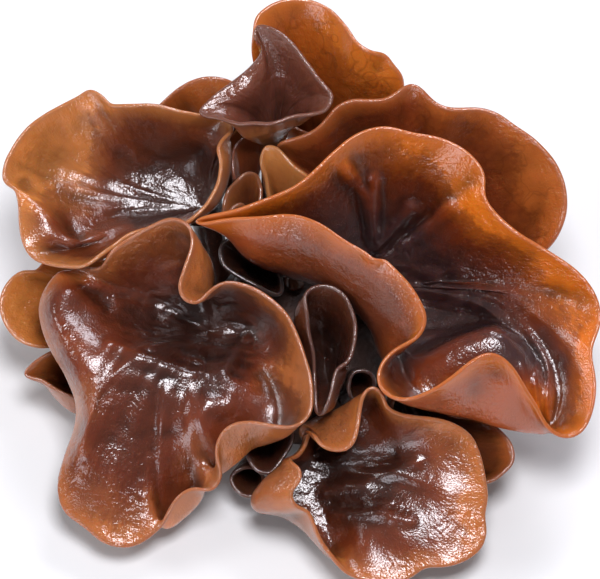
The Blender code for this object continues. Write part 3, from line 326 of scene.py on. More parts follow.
STALK_WAIST = 0.1  # how much the stalk thins in its middle
STALK_SIDE = (0.3, 1.0, 0.2)  # any direction that no stalk runs along
STALK_FAR = 99.0  # stands for far from any rim
FOOT_CENTRE = (-1.8, 3.1)
FOOT_RADIUS = (23.0, 25.0)  # left to right, front to back
FOOT_TOP = 14.0
FOOT_WAVE = 0.05  # how far its radius swells and sinks
FOOT_GAP = 0.8  # between the foot and the end of a stalk
AIM_DEPTH = 8.0  # how deep in the foot a stalk's end is aimed


def to_face(points):
    """Across the tilted face and up it, for points in millimetres: the view along the camera's line."""
    across = points[..., 0] - SHIFT[0]
    level = points[..., 2] - FACE_HEIGHT
    up = (points[..., 1] - SHIFT[1]) * math.sin(CAMERA_TILT) + level * math.cos(CAMERA_TILT)
    return across, up


def from_face(points):
    """Turns (across, up the tilted face, height) into (x, y, z), in millimetres."""
    across, up, height = np.asarray(points, float).T
    back = (up - (height - FACE_HEIGHT) * math.cos(CAMERA_TILT)) / math.sin(CAMERA_TILT)
    return np.stack([across + SHIFT[0], back + SHIFT[1], height], axis=1)


def curve_through(stations, points, at):
    """A smooth curve through the points: cubic pieces that take their slopes from their neighbours."""
    step = np.diff(stations)[:, None]
    rise = np.diff(points, axis=0) / step
    slope = np.empty_like(points)
    slope[0], slope[-1] = rise[0], rise[-1]
    slope[1:-1] = (rise[:-1] * step[1:] + rise[1:] * step[:-1]) / (step[1:] + step[:-1])
    piece = np.clip(np.searchsorted(stations, at, side="right") - 1, 0, len(stations) - 2)
    width = step[piece]
    part = (at[:, None] - stations[piece][:, None]) / width
    return (
        points[piece] * (1 + 2 * part) * (1 - part) ** 2
        + slope[piece] * width * part * (1 - part) ** 2
        + points[piece + 1] * part**2 * (3 - 2 * part)
        + slope[piece + 1] * width * part**2 * (part - 1)
    )


def run_of(points):
    """Distance along a chain of points, starting at 0."""
    return np.concatenate([[0.0], np.cumsum(np.linalg.norm(np.diff(points, axis=0), axis=1))])


def ear_sheet(throat, ribs, columns, rings):
    """The inner side of an ear, as a grid of rings from rim to throat. Each rib is a smooth curve from
    its rim point through its other points to the throat; rings are smooth closed curves across ribs."""
    centre = from_face([throat])[0]
    share = np.linspace(0.0, 1.0, rings + 1)[:-1]
    grid = np.empty((rings, len(ribs), 3))
    for number, rib in enumerate(ribs):
        line = np.vstack([from_face(rib), centre])
        run = run_of(line)
        grid[:, number] = curve_through(run / run[-1], line, share)
    closed = np.concatenate([grid[:, -2:], grid, grid[:, :3]], axis=1)
    along = run_of(closed[0])
    start, end = along[2], along[2 + len(ribs)]
    at = start + (end - start) * np.arange(columns) / columns
    grid = np.stack([curve_through(along, ring, at) for ring in closed])
    after = np.roll(grid[0], -1, axis=0)
    turning = np.cross(grid[0] - centre, after - centre).sum(axis=0)
    if turning @ np.array([0.0, -math.cos(CAMERA_TILT), math.sin(CAMERA_TILT)]) < 0:
        grid = grid[:, ::-1]
    return grid, centre


def eased(grid, centre, passes):
    """The grid with each point moved to the weighted mean of itself and its neighbours, pass by pass."""
    for _ in range(passes):
        grid = (np.roll(grid, 1, axis=1) + 2 * grid + np.roll(grid, -1, axis=1)) / 4
        inward = np.concatenate([grid[1:], np.broadcast_to(centre, grid[:1].shape)])
        outward = np.concatenate([2 * grid[:1] - grid[1:2], grid[:-1]])
        grid = (inward + 2 * grid + outward) / 4
    return grid


def calmed_round_throat(grid, reach):
    """The grid with its rings' short waves taken out, more and more so towards the throat, where the
    ribs crowd together: each ring is split into waves, and the ones past its limit fade away."""
    waves = np.fft.rfft(grid, axis=1)
    limit = WAVES_AT_THROAT + WAVES_AT_RIM * reach[:, :1, None] ** WAVE_GROWTH
    waves /= 1 + (np.arange(waves.shape[1])[None, :, None] / limit) ** 4
    return np.fft.irfft(waves, n=grid.shape[1], axis=1)


def paleness(grid, spots):
    """How much paler the flesh is at each point of the sheet: every spot is (across, up, width, how
    much), a bell round its middle, darker where that is negative."""
    across, up = to_face(grid)
    total = np.zeros(grid.shape[:-1])
    for middle_across, middle_up, width, how_much in spots:
        apart = (across - middle_across) ** 2 + (up - middle_up) ** 2
        total += how_much * np.exp(-apart / width**2)
    return total


def sheet_normals(grid, centre):
    """Unit normals on the inner side, and the unit direction out of the rim at each column."""
    inward = np.concatenate([grid[1:], np.broadcast_to(centre, grid[:1].shape)])
    outward = np.concatenate([grid[:1], grid[:-1]])
    reach = outward - inward
    turn = np.roll(grid, -1, axis=1) - np.roll(grid, 1, axis=1)
    normal = np.cross(reach, turn)
    normal /= np.linalg.norm(normal, axis=-1, keepdims=True) + TINY
    out = reach[0] / (np.linalg.norm(reach[0], axis=-1, keepdims=True) + TINY)
    return normal, out


def fold_heights(grid, folds):
    """Height of the folds at each point of the sheet. A fold is a ridge, or a groove if its height is
    negative, along a line of (across, up) points: its height falls off as a bell with the distance
    from the line."""
    across, up = to_face(grid)
    total = np.zeros(grid.shape[:-1])
    for height, width, line in folds:
        nearest = np.full(grid.shape[:-1], np.inf)
        for (x0, y0), (x1, y1) in zip(line[:-1], line[1:]):
            dx, dy = x1 - x0, y1 - y0
            part = np.clip(((across - x0) * dx + (up - y0) * dy) / (dx * dx + dy * dy), 0.0, 1.0)
            apart = (across - x0 - part * dx) ** 2 + (up - y0 - part * dy) ** 2
            nearest = np.minimum(nearest, apart)
        total += height * np.exp(-nearest / width**2)
    return total


def foot_point(turn, rise, grow):
    """A point of the foot's dome, at this turn and rise in degrees, grown by this much. The dome's
    radius swells and sinks round its edge as the sum of three sine waves."""
    turn, rise = math.radians(turn), math.radians(rise)
    swell = math.sin(2 * turn + 0.7) + 0.7 * math.sin(3 * turn + 2.1) + 0.4 * math.sin(5 * turn + 0.4)
    wide = 1 + FOOT_WAVE * swell
    return np.array(
        [
            FOOT_CENTRE[0] + (FOOT_RADIUS[0] * wide + grow) * math.cos(rise) * math.cos(turn),
            FOOT_CENTRE[1] + (FOOT_RADIUS[1] * wide + grow) * math.cos(rise) * math.sin(turn),
            (FOOT_TOP + grow) * math.sin(rise),
        ]
    )


def stalk_rings(outer, centre, radius, foot_spot):
    """Rings of the stalk, from under the throat to just above the foot. Each ring is a circle that
    turns from square to the stalk to flat on the foot's dome."""
    end = foot_point(*foot_spot, FOOT_GAP)
    into = foot_point(*foot_spot, -AIM_DEPTH) - end
    into /= np.linalg.norm(into)
    down = end - centre
    length = np.linalg.norm(down)
    down /= length
    side = np.cross(down, STALK_SIDE)
    side /= np.linalg.norm(side)
    other = np.cross(side, down)
    columns = outer.shape[0]
    away = outer - centre
    angle = np.arctan2(away @ other, away @ side)
    even = 2 * math.pi * np.arange(columns) / columns
    even = even + np.angle(np.exp(1j * (angle - even)).sum())
    flat_side = np.cross(into, other)
    flat_side /= np.linalg.norm(flat_side)
    if flat_side @ side < 0:
        flat_side = -flat_side
    flat_other = np.cross(flat_side, into)
    start = min(STALK_START[0], STALK_START[1] * length) / length
    rings = []
    for part in np.linspace(0.0, 1.0, STALK_STEPS):
        along = start + (1 - start) * part
        first = side * (1 - part) + flat_side * part
        second = other * (1 - part) + flat_other * part
        circle = np.cos(even)[:, None] * first + np.sin(even)[:, None] * second
        waist = 1 - STALK_WAIST * math.sin(math.pi * part)
        rings.append(centre + down * length * along + circle * radius * waist)
    return np.stack(rings), end


# Patterns of the flesh: how many to the metre, or to the millimetre along the strands, and how deep
# in metres their bumps are.
BLOTCHES = 60.0
WET_PATCHES = 90.0
VEINS = 110.0
VEIN_BENDS = 220.0
VEIN_BEND = (0.012, 0.012, 0.012)
MOTTLES = 420.0
RIPPLES = 520.0
FRECKLES = 1500.0
GRAINS = 2500.0
STREAKS = 0.8
FIBRES = 1.8
GRAIN_DEPTH = 0.00007
FIBRE_DEPTH = 0.00017
RIPPLE_DEPTH = 0.00032
WET_FLESH = {
    "Specular IOR Level": 0.2,
    "Specular Tint": (1.0, 0.55, 0.45, 1.0),
    "Subsurface Weight": 0.3,
    "Subsurface Radius": (1.0, 0.25, 0.07),
    "Subsurface Scale": 0.003,
    "Coat Weight": 1.0,
    "Coat Roughness": 0.16,
    "Coat IOR": 1.6,
}


def ear_flesh(name, deep, middle, edge, outside, veins=0.0):
    """Wet jelly-like flesh. The inner side runs from `deep` at the throat through `middle` to `edge`,
    and the outer side is `outside` with dark freckles. Light passes through the thin flesh and
    reddens. The wet skin is drawn into fine strands that run from throat to rim, in patches. The
    ramps below are pairs of (where, how much or which colour)."""
    material = bpy.data.materials.new(name + "_flesh")
    material.use_nodes = True
    tree = material.node_tree
    shader = tree.nodes["Principled BSDF"]
    place = tree.nodes.new("ShaderNodeTexCoord").outputs["Object"]

    def mark(which, output="Fac"):
        made = tree.nodes.new("ShaderNodeAttribute")
        made.attribute_name = which
        return made.outputs[output]

    def noise(vector, scale, detail, rough=0.5, warp=0.0):
        made = new_node(tree, "ShaderNodeTexNoise", Vector=vector, Scale=scale, Detail=detail)
        made.inputs["Roughness"].default_value = rough
        made.inputs["Distortion"].default_value = warp
        return made.outputs["Fac"]

    strand = mark("strand", "Vector")
    blotch = noise(place, BLOTCHES, 3.0)
    mottle = noise(place, MOTTLES, 6.0, 0.65)
    streak = noise(strand, STREAKS, 4.0, 0.6)
    patch = ramp(tree, noise(place, WET_PATCHES, 2.0), (0.40, 0.15), (0.60, 1.0))

    reach = maths(tree, "MULTIPLY_ADD", maths(tree, "SUBTRACT", blotch, 0.5), 0.50, mark("reach"))
    reach = maths(tree, "MULTIPLY_ADD", maths(tree, "SUBTRACT", mottle, 0.5), 0.20, reach)
    streaky = ramp(tree, mark("reach"), (0.3, 0.0), (0.6, 0.26))
    streaky = maths(tree, "MULTIPLY", maths(tree, "SUBTRACT", streak, 0.5), streaky)
    reach = maths(tree, "ADD", reach, streaky)
    between = tuple(0.6 * a + 0.4 * b for a, b in zip(middle, edge))
    inner = ramp(tree, reach, (0.30, deep), (0.68, middle), (0.92, between), (1.0, edge))
    dull = tuple(0.5 * c for c in outside)
    outer = maths(tree, "MULTIPLY_ADD", maths(tree, "SUBTRACT", mottle, 0.5), 0.5, mark("reach"))
    outer = ramp(tree, outer, (0.5, dull), (1.0, outside))
    outer = mixed(tree, ramp(tree, mark("reach"), (0.20, 1.0), (0.48, 0.0)), outer, deep)
    freckle = ramp(tree, noise(place, FRECKLES, 2.0, 0.5, 0.5), (0.60, 0.0), (0.68, 1.0))
    freckle = maths(tree, "MULTIPLY", freckle, ramp(tree, blotch, (0.5, 0.0), (0.62, 0.6)))
    outer = mixed(tree, freckle, outer, tuple(0.3 * c for c in outside))
    colour = mixed(tree, mark("side"), inner, outer)
    # Painted shade and painted light: the colour is darkened to half in creases and lightened up to 1.3
    # times on ridges, by how far the sheet lies below or above its smoothed self.
    crease = maths(tree, "MULTIPLY_ADD", mark("crease"), 4.0, 0.5, clamp=True)
    painted_crease_shade = ramp(tree, crease, (0.1, 0.5), (0.5, 1.0), (0.95, 1.3))
    colour = mixed(tree, 1.0, colour, painted_crease_shade, "MULTIPLY")
    if veins:
        bent = new_node(tree, "ShaderNodeTexNoise", Vector=place, Scale=VEIN_BENDS, Detail=1.0)
        bent = new_node(tree, "ShaderNodeVectorMath", i0=bent.outputs["Color"], i1=VEIN_BEND)
        bent.operation = "MULTIPLY"
        bent = new_node(tree, "ShaderNodeVectorMath", i0=bent.outputs[0], i1=place)
        net = new_node(tree, "ShaderNodeTexVoronoi", Vector=bent.outputs[0], Scale=VEINS)
        net.feature = "DISTANCE_TO_EDGE"
        line = ramp(tree, net.outputs["Distance"], (0.0, 1.0), (0.06, 0.0))
        colour = mixed(tree, maths(tree, "MULTIPLY", line, veins), colour, tuple(0.5 * c for c in middle))
    # Painted glow: a band of the edge colour along the rim, fading out within about five millimetres with
    # a width that wobbles with the blotches. It stands in for light shining through the thin edge.
    from_rim = maths(tree, "MULTIPLY_ADD", maths(tree, "SUBTRACT", blotch, 0.5), 7.0, mark("edge"))
    painted_rim_glow = ramp(tree, maths(tree, "MULTIPLY", from_rim, 0.1), (0.05, 0.70), (0.18, 0.40), (0.45, 0.0))
    colour = mixed(tree, painted_rim_glow, colour, edge)
    lip = ramp(tree, maths(tree, "MULTIPLY", mark("edge"), 0.5), (0.0, 0.6), (0.4, 0.0))
    colour = mixed(tree, lip, colour, tuple(0.65 * c + 0.035 for c in edge))
    tree.links.new(colour, shader.inputs["Base Color"])
    tree.links.new(ramp(tree, mottle, (0.3, 0.32), (0.7, 0.50)), shader.inputs["Roughness"])
    for socket, value in WET_FLESH.items():
        shader.inputs[socket].default_value = value

    grain = noise(place, GRAINS, 1.5)
    fibre = noise(strand, FIBRES, 2.0)
    ripple = noise(place, RIPPLES, 2.0)
    drawn = maths(tree, "MULTIPLY", patch, ramp(tree, mark("reach"), (0.45, 0.0), (0.8, 1.0)))
    bumped = None
    for strength, depth, height in (
        (1.0, GRAIN_DEPTH, grain),
        (drawn, FIBRE_DEPTH, fibre),
        (patch, RIPPLE_DEPTH, ripple),
    ):
        bump = new_node(tree, "ShaderNodeBump", Strength=strength, Distance=depth, Height=height)
        if bumped:
            tree.links.new(bumped, bump.inputs["Normal"])
        bumped = bump.outputs["Normal"]
    tree.links.new(bumped, shader.inputs["Normal"])
    tree.links.new(bumped, shader.inputs["Coat Normal"])
    return material


def make_ear(name, throat, ribs, columns, rings, stalk, foot_spot, lumps, folds=(), spots=(), **flesh):
    """One ear as a closed skin: inner side from throat to rim, rounded rim, outer side, then stalk.
    The sheet is pushed along its normals by its folds, by big and fine lumps and, deep in the hollow,
    by level puckers, so both sides move together. Lumps are (big, fine, pucker, seed)."""
    big, fine, pit, seed = lumps
    big_cell, fine_cell, pucker_cell = LUMP_CELLS
    grid, centre = ear_sheet(throat, ribs, columns, rings)
    grid = eased(grid, centre, EASE_PASSES)
    reach = 1 - np.arange(rings)[:, None] / rings + np.zeros(columns)
    grid = calmed_round_throat(grid, reach)
    normal, _ = sheet_normals(grid, centre)
    calm = np.clip(reach / LEVEL_THROAT, 0, 1)
    turn = 2 * math.pi * np.arange(columns) / columns
    around, along = RAY_SHAPE
    ray = np.stack(np.broadcast_arrays(np.cos(turn) * around, np.sin(turn) * around, reach * along), -1)
    # Fine lumps weaken towards the rim, rays start past a quarter of the way out, and puckers end at two
    # thirds of it.
    relief = fold_heights(grid, folds)
    relief += big * crumple(grid, big_cell, seed, 2)
    relief += fine * crumple(grid, fine_cell, seed + SEED_STEP, 3) * (1.1 - 0.7 * reach)
    relief += 0.3 * fine * crumple(ray, 1.0, seed + 2 * SEED_STEP, 3) * np.clip(2 * reach - 0.5, 0, 1)
    puckers = crumple(grid * PUCKER_STRETCH, pucker_cell, seed + 3 * SEED_STEP, 3)
    relief += pit * puckers * np.clip(1.6 - 2.4 * reach, 0, 1)
    grid = grid + normal * (relief * calm)[..., None]
    grid = eased(grid, centre, 1)
    normal, out = sheet_normals(grid, centre)
    # How far each point stands above the smoothed sheet, which the flesh's colour uses as painted shade
    # in creases and painted light on ridges.
    smooth = eased(grid, centre, CREASE_PASSES)
    crease = ((grid - smooth) * normal).sum(axis=-1)
    gap = np.linalg.norm(grid - grid[0], axis=-1)
    thick = SHEET * (RIM_SHARE + (1 - RIM_SHARE) * np.clip(gap / RIM_DEPTH, 0, 1))
    calmed = eased(normal, normal[-1].mean(axis=0), CALM_PASSES)
    outer = grid - calmed * thick[..., None]
    bend = np.linspace(0.0, math.pi, RIM_STEPS + 2)[1:-1, None, None]
    half = thick[0][:, None] / 2
    rim = grid[0] - calmed[0] * half + half * (np.cos(bend) * calmed[0] + np.sin(bend) * out)
    keep = int(round(rings * OUTER_SHARE))
    stem, end = stalk_rings(outer[keep - 1], centre, stalk, foot_spot)
    skin = np.concatenate([grid[::-1], rim, outer[:keep], stem])
    pale = reach + paleness(grid, spots)
    flat = np.zeros(columns)
    on_rim = np.zeros((RIM_STEPS, 1)) + flat
    on_stem = np.zeros((STALK_STEPS, 1)) + flat
    level = np.concatenate([pale[::-1], pale[:1] + on_rim, pale[:keep], on_stem])
    across_rim = np.linspace(0.0, 1.0, RIM_STEPS + 2)[1:-1, None] + flat
    side = np.concatenate([np.zeros((rings, columns)), across_rim, np.ones((keep, columns)), on_stem + 1])
    edge = np.concatenate([gap[::-1], on_rim, gap[:keep], on_stem + STALK_FAR])
    # The crease depth for the painted shade, turned over on the outer side, where an inner crease is a
    # ridge.
    crease_shade_mark = np.concatenate([crease[::-1], crease[:1] + on_rim, -crease[:keep], on_stem])
    girth = run_of(np.concatenate([grid[rings // 3], grid[rings // 3, :1]]))[-1] / (2 * math.pi)
    ring_gap = run_of(grid[:, 0])[-1] / rings
    steps = np.arange(len(skin))[:, None] * ring_gap / STRAND_STRETCH
    strand = np.stack(np.broadcast_arrays(girth * np.cos(turn), girth * np.sin(turn), steps), axis=-1)
    marks = {"reach": level, "side": side, "edge": edge, "crease": crease_shade_mark, "strand": strand}
    made = make_skin(name + "_finished", skin, centre, end, marks, ear_flesh(name, **flesh))
    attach(made, "root")
    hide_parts(name)


right_cup_ribs = (
    ((-22.5, 14.5, 45.5), (-12, 12.4, 39)), ((-16, 15.2, 46.3), (-14, 10.8, 39)),
    ((-8, 15.5, 47.5), (-8.6, 8.4, 38)), ((-2, 16.2, 48.3), (-3, 6.4, 36.6)),
    ((4, 14.4, 48.8), (2, 4, 35.5)), ((10, 10.3, 48.8), (7.3, 0.9, 34)),
    ((16, 7, 48.2), (12, -2.6, 32.5)), ((21.5, 3.2, 46.5), (15.8, -6.8, 31)),
    ((25.6, -2, 43.8), (18.4, -10.6, 30)), ((27.3, -7.2, 40.8), (19.6, -13.2, 29)),
    ((25.4, -10.8, 38.6), (20, -14.6, 28.4)), ((21.6, -12.6, 37), (19.8, -15.4, 28)),
    ((18.6, -15.4, 35.8), (19.8, -16.6, 27.4)), ((17.2, -19, 35), (20.6, -18.6, 26.6)),
    ((18.8, -22, 35), (22.8, -21, 26)),
    ((22.5, -23.2, 35.5), (26, -23, 25.5), (24.6, -17, 26.2), (23, -14.6, 23.4)),
    ((27.5, -21.5, 37), (30, -24.8, 24.6), (28.4, -14, 28.6), (27, -13.2, 23.8)),
    ((32.5, -18.2, 39.5), (34.4, -26.2, 23.6), (33, -11.3, 30.4), (31.4, -11.2, 24.6)),
    ((36.5, -14.8, 41.3), (38.2, -27.2, 22.8), (37.6, -9.4, 31.6), (36, -9.4, 25.2)),
    ((40.2, -13.4, 42), (42, -28.6, 21.8), (42, -7.7, 32.2), (40.6, -7.6, 26)),
    ((44.3, -15.4, 40.3), (46, -29.6, 20.6), (45.2, -10.6, 31), (42.6, -7.4, 26.4)),
    ((48, -20.2, 36.3), (50, -30.2, 19.6), (48.2, -14.4, 29.4), (48, -12, 27.4), (43.8, -7, 26.8)),
    ((51.2, -25.4, 31), (53, -30.5, 19.4), (50.8, -18.4, 27.8), (51, -15.6, 26.2), (44.6, -6.5, 27)),
    ((53.8, -30, 27), (55, -29.6, 20.6), (53.2, -22.6, 26), (53.4, -19, 25.4), (45.2, -6, 27.2)),
    ((57, -31.6, 25.4), (56, -27, 21.8), (55, -20.6, 25), (45.8, -5.4, 27.4)),
    ((60.2, -30.6, 25.2), (57.6, -21.6, 25.2), (46.2, -4.8, 27.8)),
    ((62.5, -26, 27.5), (57, -15, 27.6), (46.6, -4.1, 28.2)),
    ((63.3, -19.5, 30), (55, -9.5, 29.6), (47, -3.3, 28.8)),
    ((62.4, -13, 32), (54, -6.4, 30.4), (47.2, -2.4, 29.4)),
    ((64.6, -6.5, 34), (54.6, -3, 31.4), (47.4, -1.4, 30)),
    ((63.6, -1.8, 36), (54.4, -0.4, 32), (47.4, -0.2, 30.6)), ((60.5, 2.6, 38.5), (46, 2, 31)),
    ((56.3, 6, 40), (43, 4, 31.2)), ((52.5, 8.4, 41), (39, 6, 31.6)), ((47, 11.8, 43), (35, 8, 32)),
    ((41.8, 16.4, 45), (31, 10.5, 33)), ((39.2, 20.4, 46.5), (28.5, 13.5, 34)),
    ((39.6, 24.6, 48), (27.5, 16.5, 35.4)), ((36.5, 29, 49.5), (25.5, 18.5, 36.4)),
    ((30, 32.4, 51), (22.5, 20, 37.4)), ((24, 33.4, 52), (20, 20.5, 38)),
    ((18.5, 34.8, 53), (16.5, 20.5, 38.5)), ((13, 33.4, 53), (13.5, 20, 38.5)),
    ((8, 29.6, 52), (9.5, 18, 38)), ((3.5, 25, 51), (5.5, 16, 38)),
    ((-1.5, 21.2, 50), (1, 14.5, 38)), ((-8, 18.8, 48.5), (-4.5, 13.5, 38.4)),
    ((-15.5, 16.3, 47), (-9, 13, 38.8)),
)
make_ear(
    "right_cup_ear",
    throat=(15, 1, 19),
    ribs=right_cup_ribs,
    columns=340,
    rings=82,
    stalk=4.0,
    foot_spot=(15, 42),
    lumps=(0.3, 0.1, 0.35, 31),
    folds=(
        (1.3, 1.6, ((10, 26), (14, 20), (15.5, 12))),
        (1, 1.4, ((16, 24), (16.2, 16), (16, 9))),
        (1, 1.4, ((24, 18), (20, 13), (17, 9))),
        (0.7, 1.3, ((33, 18), (25, 12), (18, 7))),
        (0.6, 1.4, ((30, 3), (24, 5), (18, 6))),
        (-0.9, 1.6, ((12, 22), (14, 14), (16, 8))),
        (-0.7, 1.5, ((28, 16), (22, 11), (17, 7.6))),
    ),
    spots=(
        (45, -25, 7, 0.6), (46, -14, 5, -0.3), (5, 5, 14, -0.3), (22, -4, 9, -0.3),
        (40, 24, 9, 0.3), (57, 4, 9, 0.15), (54, -16, 6, -0.25), (22, 28, 8, 0.1),
        (30, 10, 9, -0.15), (62, -14, 4, 0.15),
    ),
    # The hollow's deep colour is the ear's dark brown with a painted lilac sheen mixed in, standing in
    # for soft reflections in the hollow.
    deep=(0.038, 0.015, 0.014),
    middle=(0.13, 0.021, 0.004),
    edge=(0.56, 0.135, 0.009),
    outside=(0.33, 0.07, 0.018),
)

# ----------------------------------------
# Left front ear: the largest, a broad wet lobe that hangs down to the front left, with a dark
# hollow behind and a crease across its middle.

left_front_ribs = (
    ((-36, 11.2, 41), (-30, 3, 29.4)), ((-31.5, 13.8, 44), (-27.4, 3, 29)),
    ((-27, 14.8, 46), (-25, 2, 27)), ((-24, 13, 46.5), (-22.3, 4, 29)),
    ((-23.6, 9.5, 45.5), (-20.9, 7, 36), (-20.5, 0, 27)),
    ((-25.2, 4.8, 43.8), (-20.8, 3.5, 35), (-20, -2, 26)),
    ((-26.3, 0.8, 42), (-21, 0.8, 34), (-19.5, -3, 25)),
    ((-25, -2.4, 40.5), (-20.5, -1.2, 33), (-19, -4, 24)),
    ((-22, -3.2, 39.5), (-18.5, -2, 31), (-18, -5, 23)), ((-19.3, -0.8, 39), (-16.6, -3, 28)),
    ((-16, 1.2, 38.6), (-15.3, -4, 25)), ((-12.5, 1, 38.2), (-13.5, -5, 24)),
    ((-8, -1.2, 37.2), (-12, -6.5, 23)), ((-4, -4.4, 36), (-10.5, -8, 22)),
    ((-1.2, -9, 35), (-9.5, -10.5, 21.5)), ((0.7, -15, 33.3), (-9, -13, 21.5)),
    ((2, -21.5, 31.5), (-9, -15.5, 22)), ((1.8, -26.4, 30), (-4, -24, 22.5), (-11, -17, 22)),
    ((-0.8, -29, 28.8), (-3.5, -30, 21), (-12.5, -20, 24)),
    ((-5.5, -29, 28.3), (-7, -32.2, 19), (-14, -22, 25)),
    ((-11, -28.1, 28), (-11, -34, 17.5), (-16, -24, 25)),
    ((-15.3, -29.2, 26.5), (-13.4, -37.6, 15.6), (-18.5, -25, 25)),
    ((-17.9, -32.2, 24.3), (-16, -39, 14.5), (-20.5, -26, 25)),
    ((-18.4, -36, 21.8), (-17.8, -39.5, 14), (-22, -27, 24.5), (-21, -19, 25)),
    ((-17.4, -40, 19), (-20, -38, 16), (-23, -28, 23.5), (-22.5, -19.3, 25.5)),
    ((-19, -42.9, 17), (-21.5, -40, 15), (-24.5, -29, 22.5), (-24, -19.6, 26)),
    ((-22.8, -42.4, 16.5), (-22.5, -45.3, 10), (-26, -32, 20), (-25.2, -19.4, 26.3)),
    ((-26.4, -44.2, 15), (-26, -48.6, 8), (-28.5, -34, 18.5), (-26.5, -19, 26.6)),
    ((-29, -47.8, 12.5), (-29.3, -51.4, 7), (-30.5, -36, 17.5), (-28, -18.3, 27)),
    ((-31.2, -52, 9.8), (-32, -44, 13), (-31.5, -31, 20), (-29, -18, 27.3)),
    ((-36, -55.2, 8.4), (-35.5, -46, 12.5), (-33.5, -30, 21), (-30, -17.5, 27.6)),
    ((-42, -54.6, 8.8), (-39, -46, 13), (-36, -30, 21.5), (-31, -17, 27.8)),
    ((-46.5, -51.2, 10), (-42, -44, 14.5), (-38, -28, 22.5), (-32, -16.6, 28)),
    ((-51, -47.8, 11), (-44.5, -40, 16.5), (-40, -26.5, 23.5), (-33, -16.4, 28.3)),
    ((-52.6, -42, 13), (-47, -37, 18.5), (-41.5, -25, 24.5), (-34, -16.2, 28.6)),
    ((-51.3, -36, 15), (-47.5, -33, 21), (-42.5, -22.5, 26), (-35.5, -15.8, 29)),
    ((-49, -30.6, 17), (-45.8, -28, 23.5), (-42.5, -20, 27.5), (-37, -15.2, 29.3)),
    ((-48.3, -25.6, 19.5), (-45.5, -23, 26), (-42.5, -17, 28.8), (-38, -14, 28.6)),
    ((-50, -20, 22), (-47, -18.5, 28), (-43, -14.5, 29.8), (-37, -12.3, 27)),
    ((-53.3, -14.5, 24), (-49.5, -13.3, 29.8), (-44, -11.8, 30), (-36, -10.6, 25.5)),
    ((-56, -9, 26), (-52, -8.5, 31), (-45, -8.8, 29.8), (-35, -9, 24.5)),
    ((-56.9, -4, 27.5), (-53, -4.5, 31.6), (-46, -5.5, 29.6), (-35, -7, 24)),
    ((-55.5, 0.4, 29), (-52, -0.8, 32), (-45.5, -2.5, 29.4), (-34, -5, 23.6)),
    ((-51.5, 4.3, 31), (-47, 1.6, 31), (-41, -1, 27), (-32.5, -4, 23.4)),
    ((-47, 4.2, 30.6), (-42.4, 1.6, 28.6), (-36, -1.6, 25)),
    ((-43.6, 3.8, 32.8), (-40, 1.6, 28.6), (-34, -1, 25)), ((-40.6, 7.6, 38.4), (-35.4, 2.2, 28.8)),
)
make_ear(
    "left_front_ear",
    throat=(-20, -9, 18.5),
    ribs=left_front_ribs,
    columns=340,
    rings=82,
    stalk=4.0,
    foot_spot=(200, 45),
    lumps=(0.4, 0.14, 0.45, 131),
    folds=(
        (
            0.9,
            1.4,
            (
                (-41, -12), (-35, -14.5), (-28, -17), (-25, -18), (-22, -18.5), (-16, -17.5),
                (-14, -14), (-12, -11),
            ),
        ),
        (-0.9, 1.6, ((-50, 4), (-46, 0), (-42, -3))),
    ),
    spots=(
        (-7, -18, 6, 0.4), (-44, -22, 8, 0.1), (-38, -34, 8, -0.12), (-57, -2, 9, -0.45),
        (-52, -18, 5, -0.4), (-25, 6, 6, 0.25), (-19, 0, 5, -0.25), (-22, -10, 9, -0.2),
        (-49, -40, 6, -0.12), (-34, -40, 6, -0.1),
    ),
    deep=(0.036, 0.01, 0.006),
    middle=(0.12, 0.022, 0.007),
    edge=(0.4, 0.12, 0.03),
    outside=(0.46, 0.14, 0.036),
)

# ----------------------------------------
# Left upper ear: a wide shallow bowl at the back left, tan on its left flank and dark in its
# hollow, with its front rim tucked behind the left front ear.

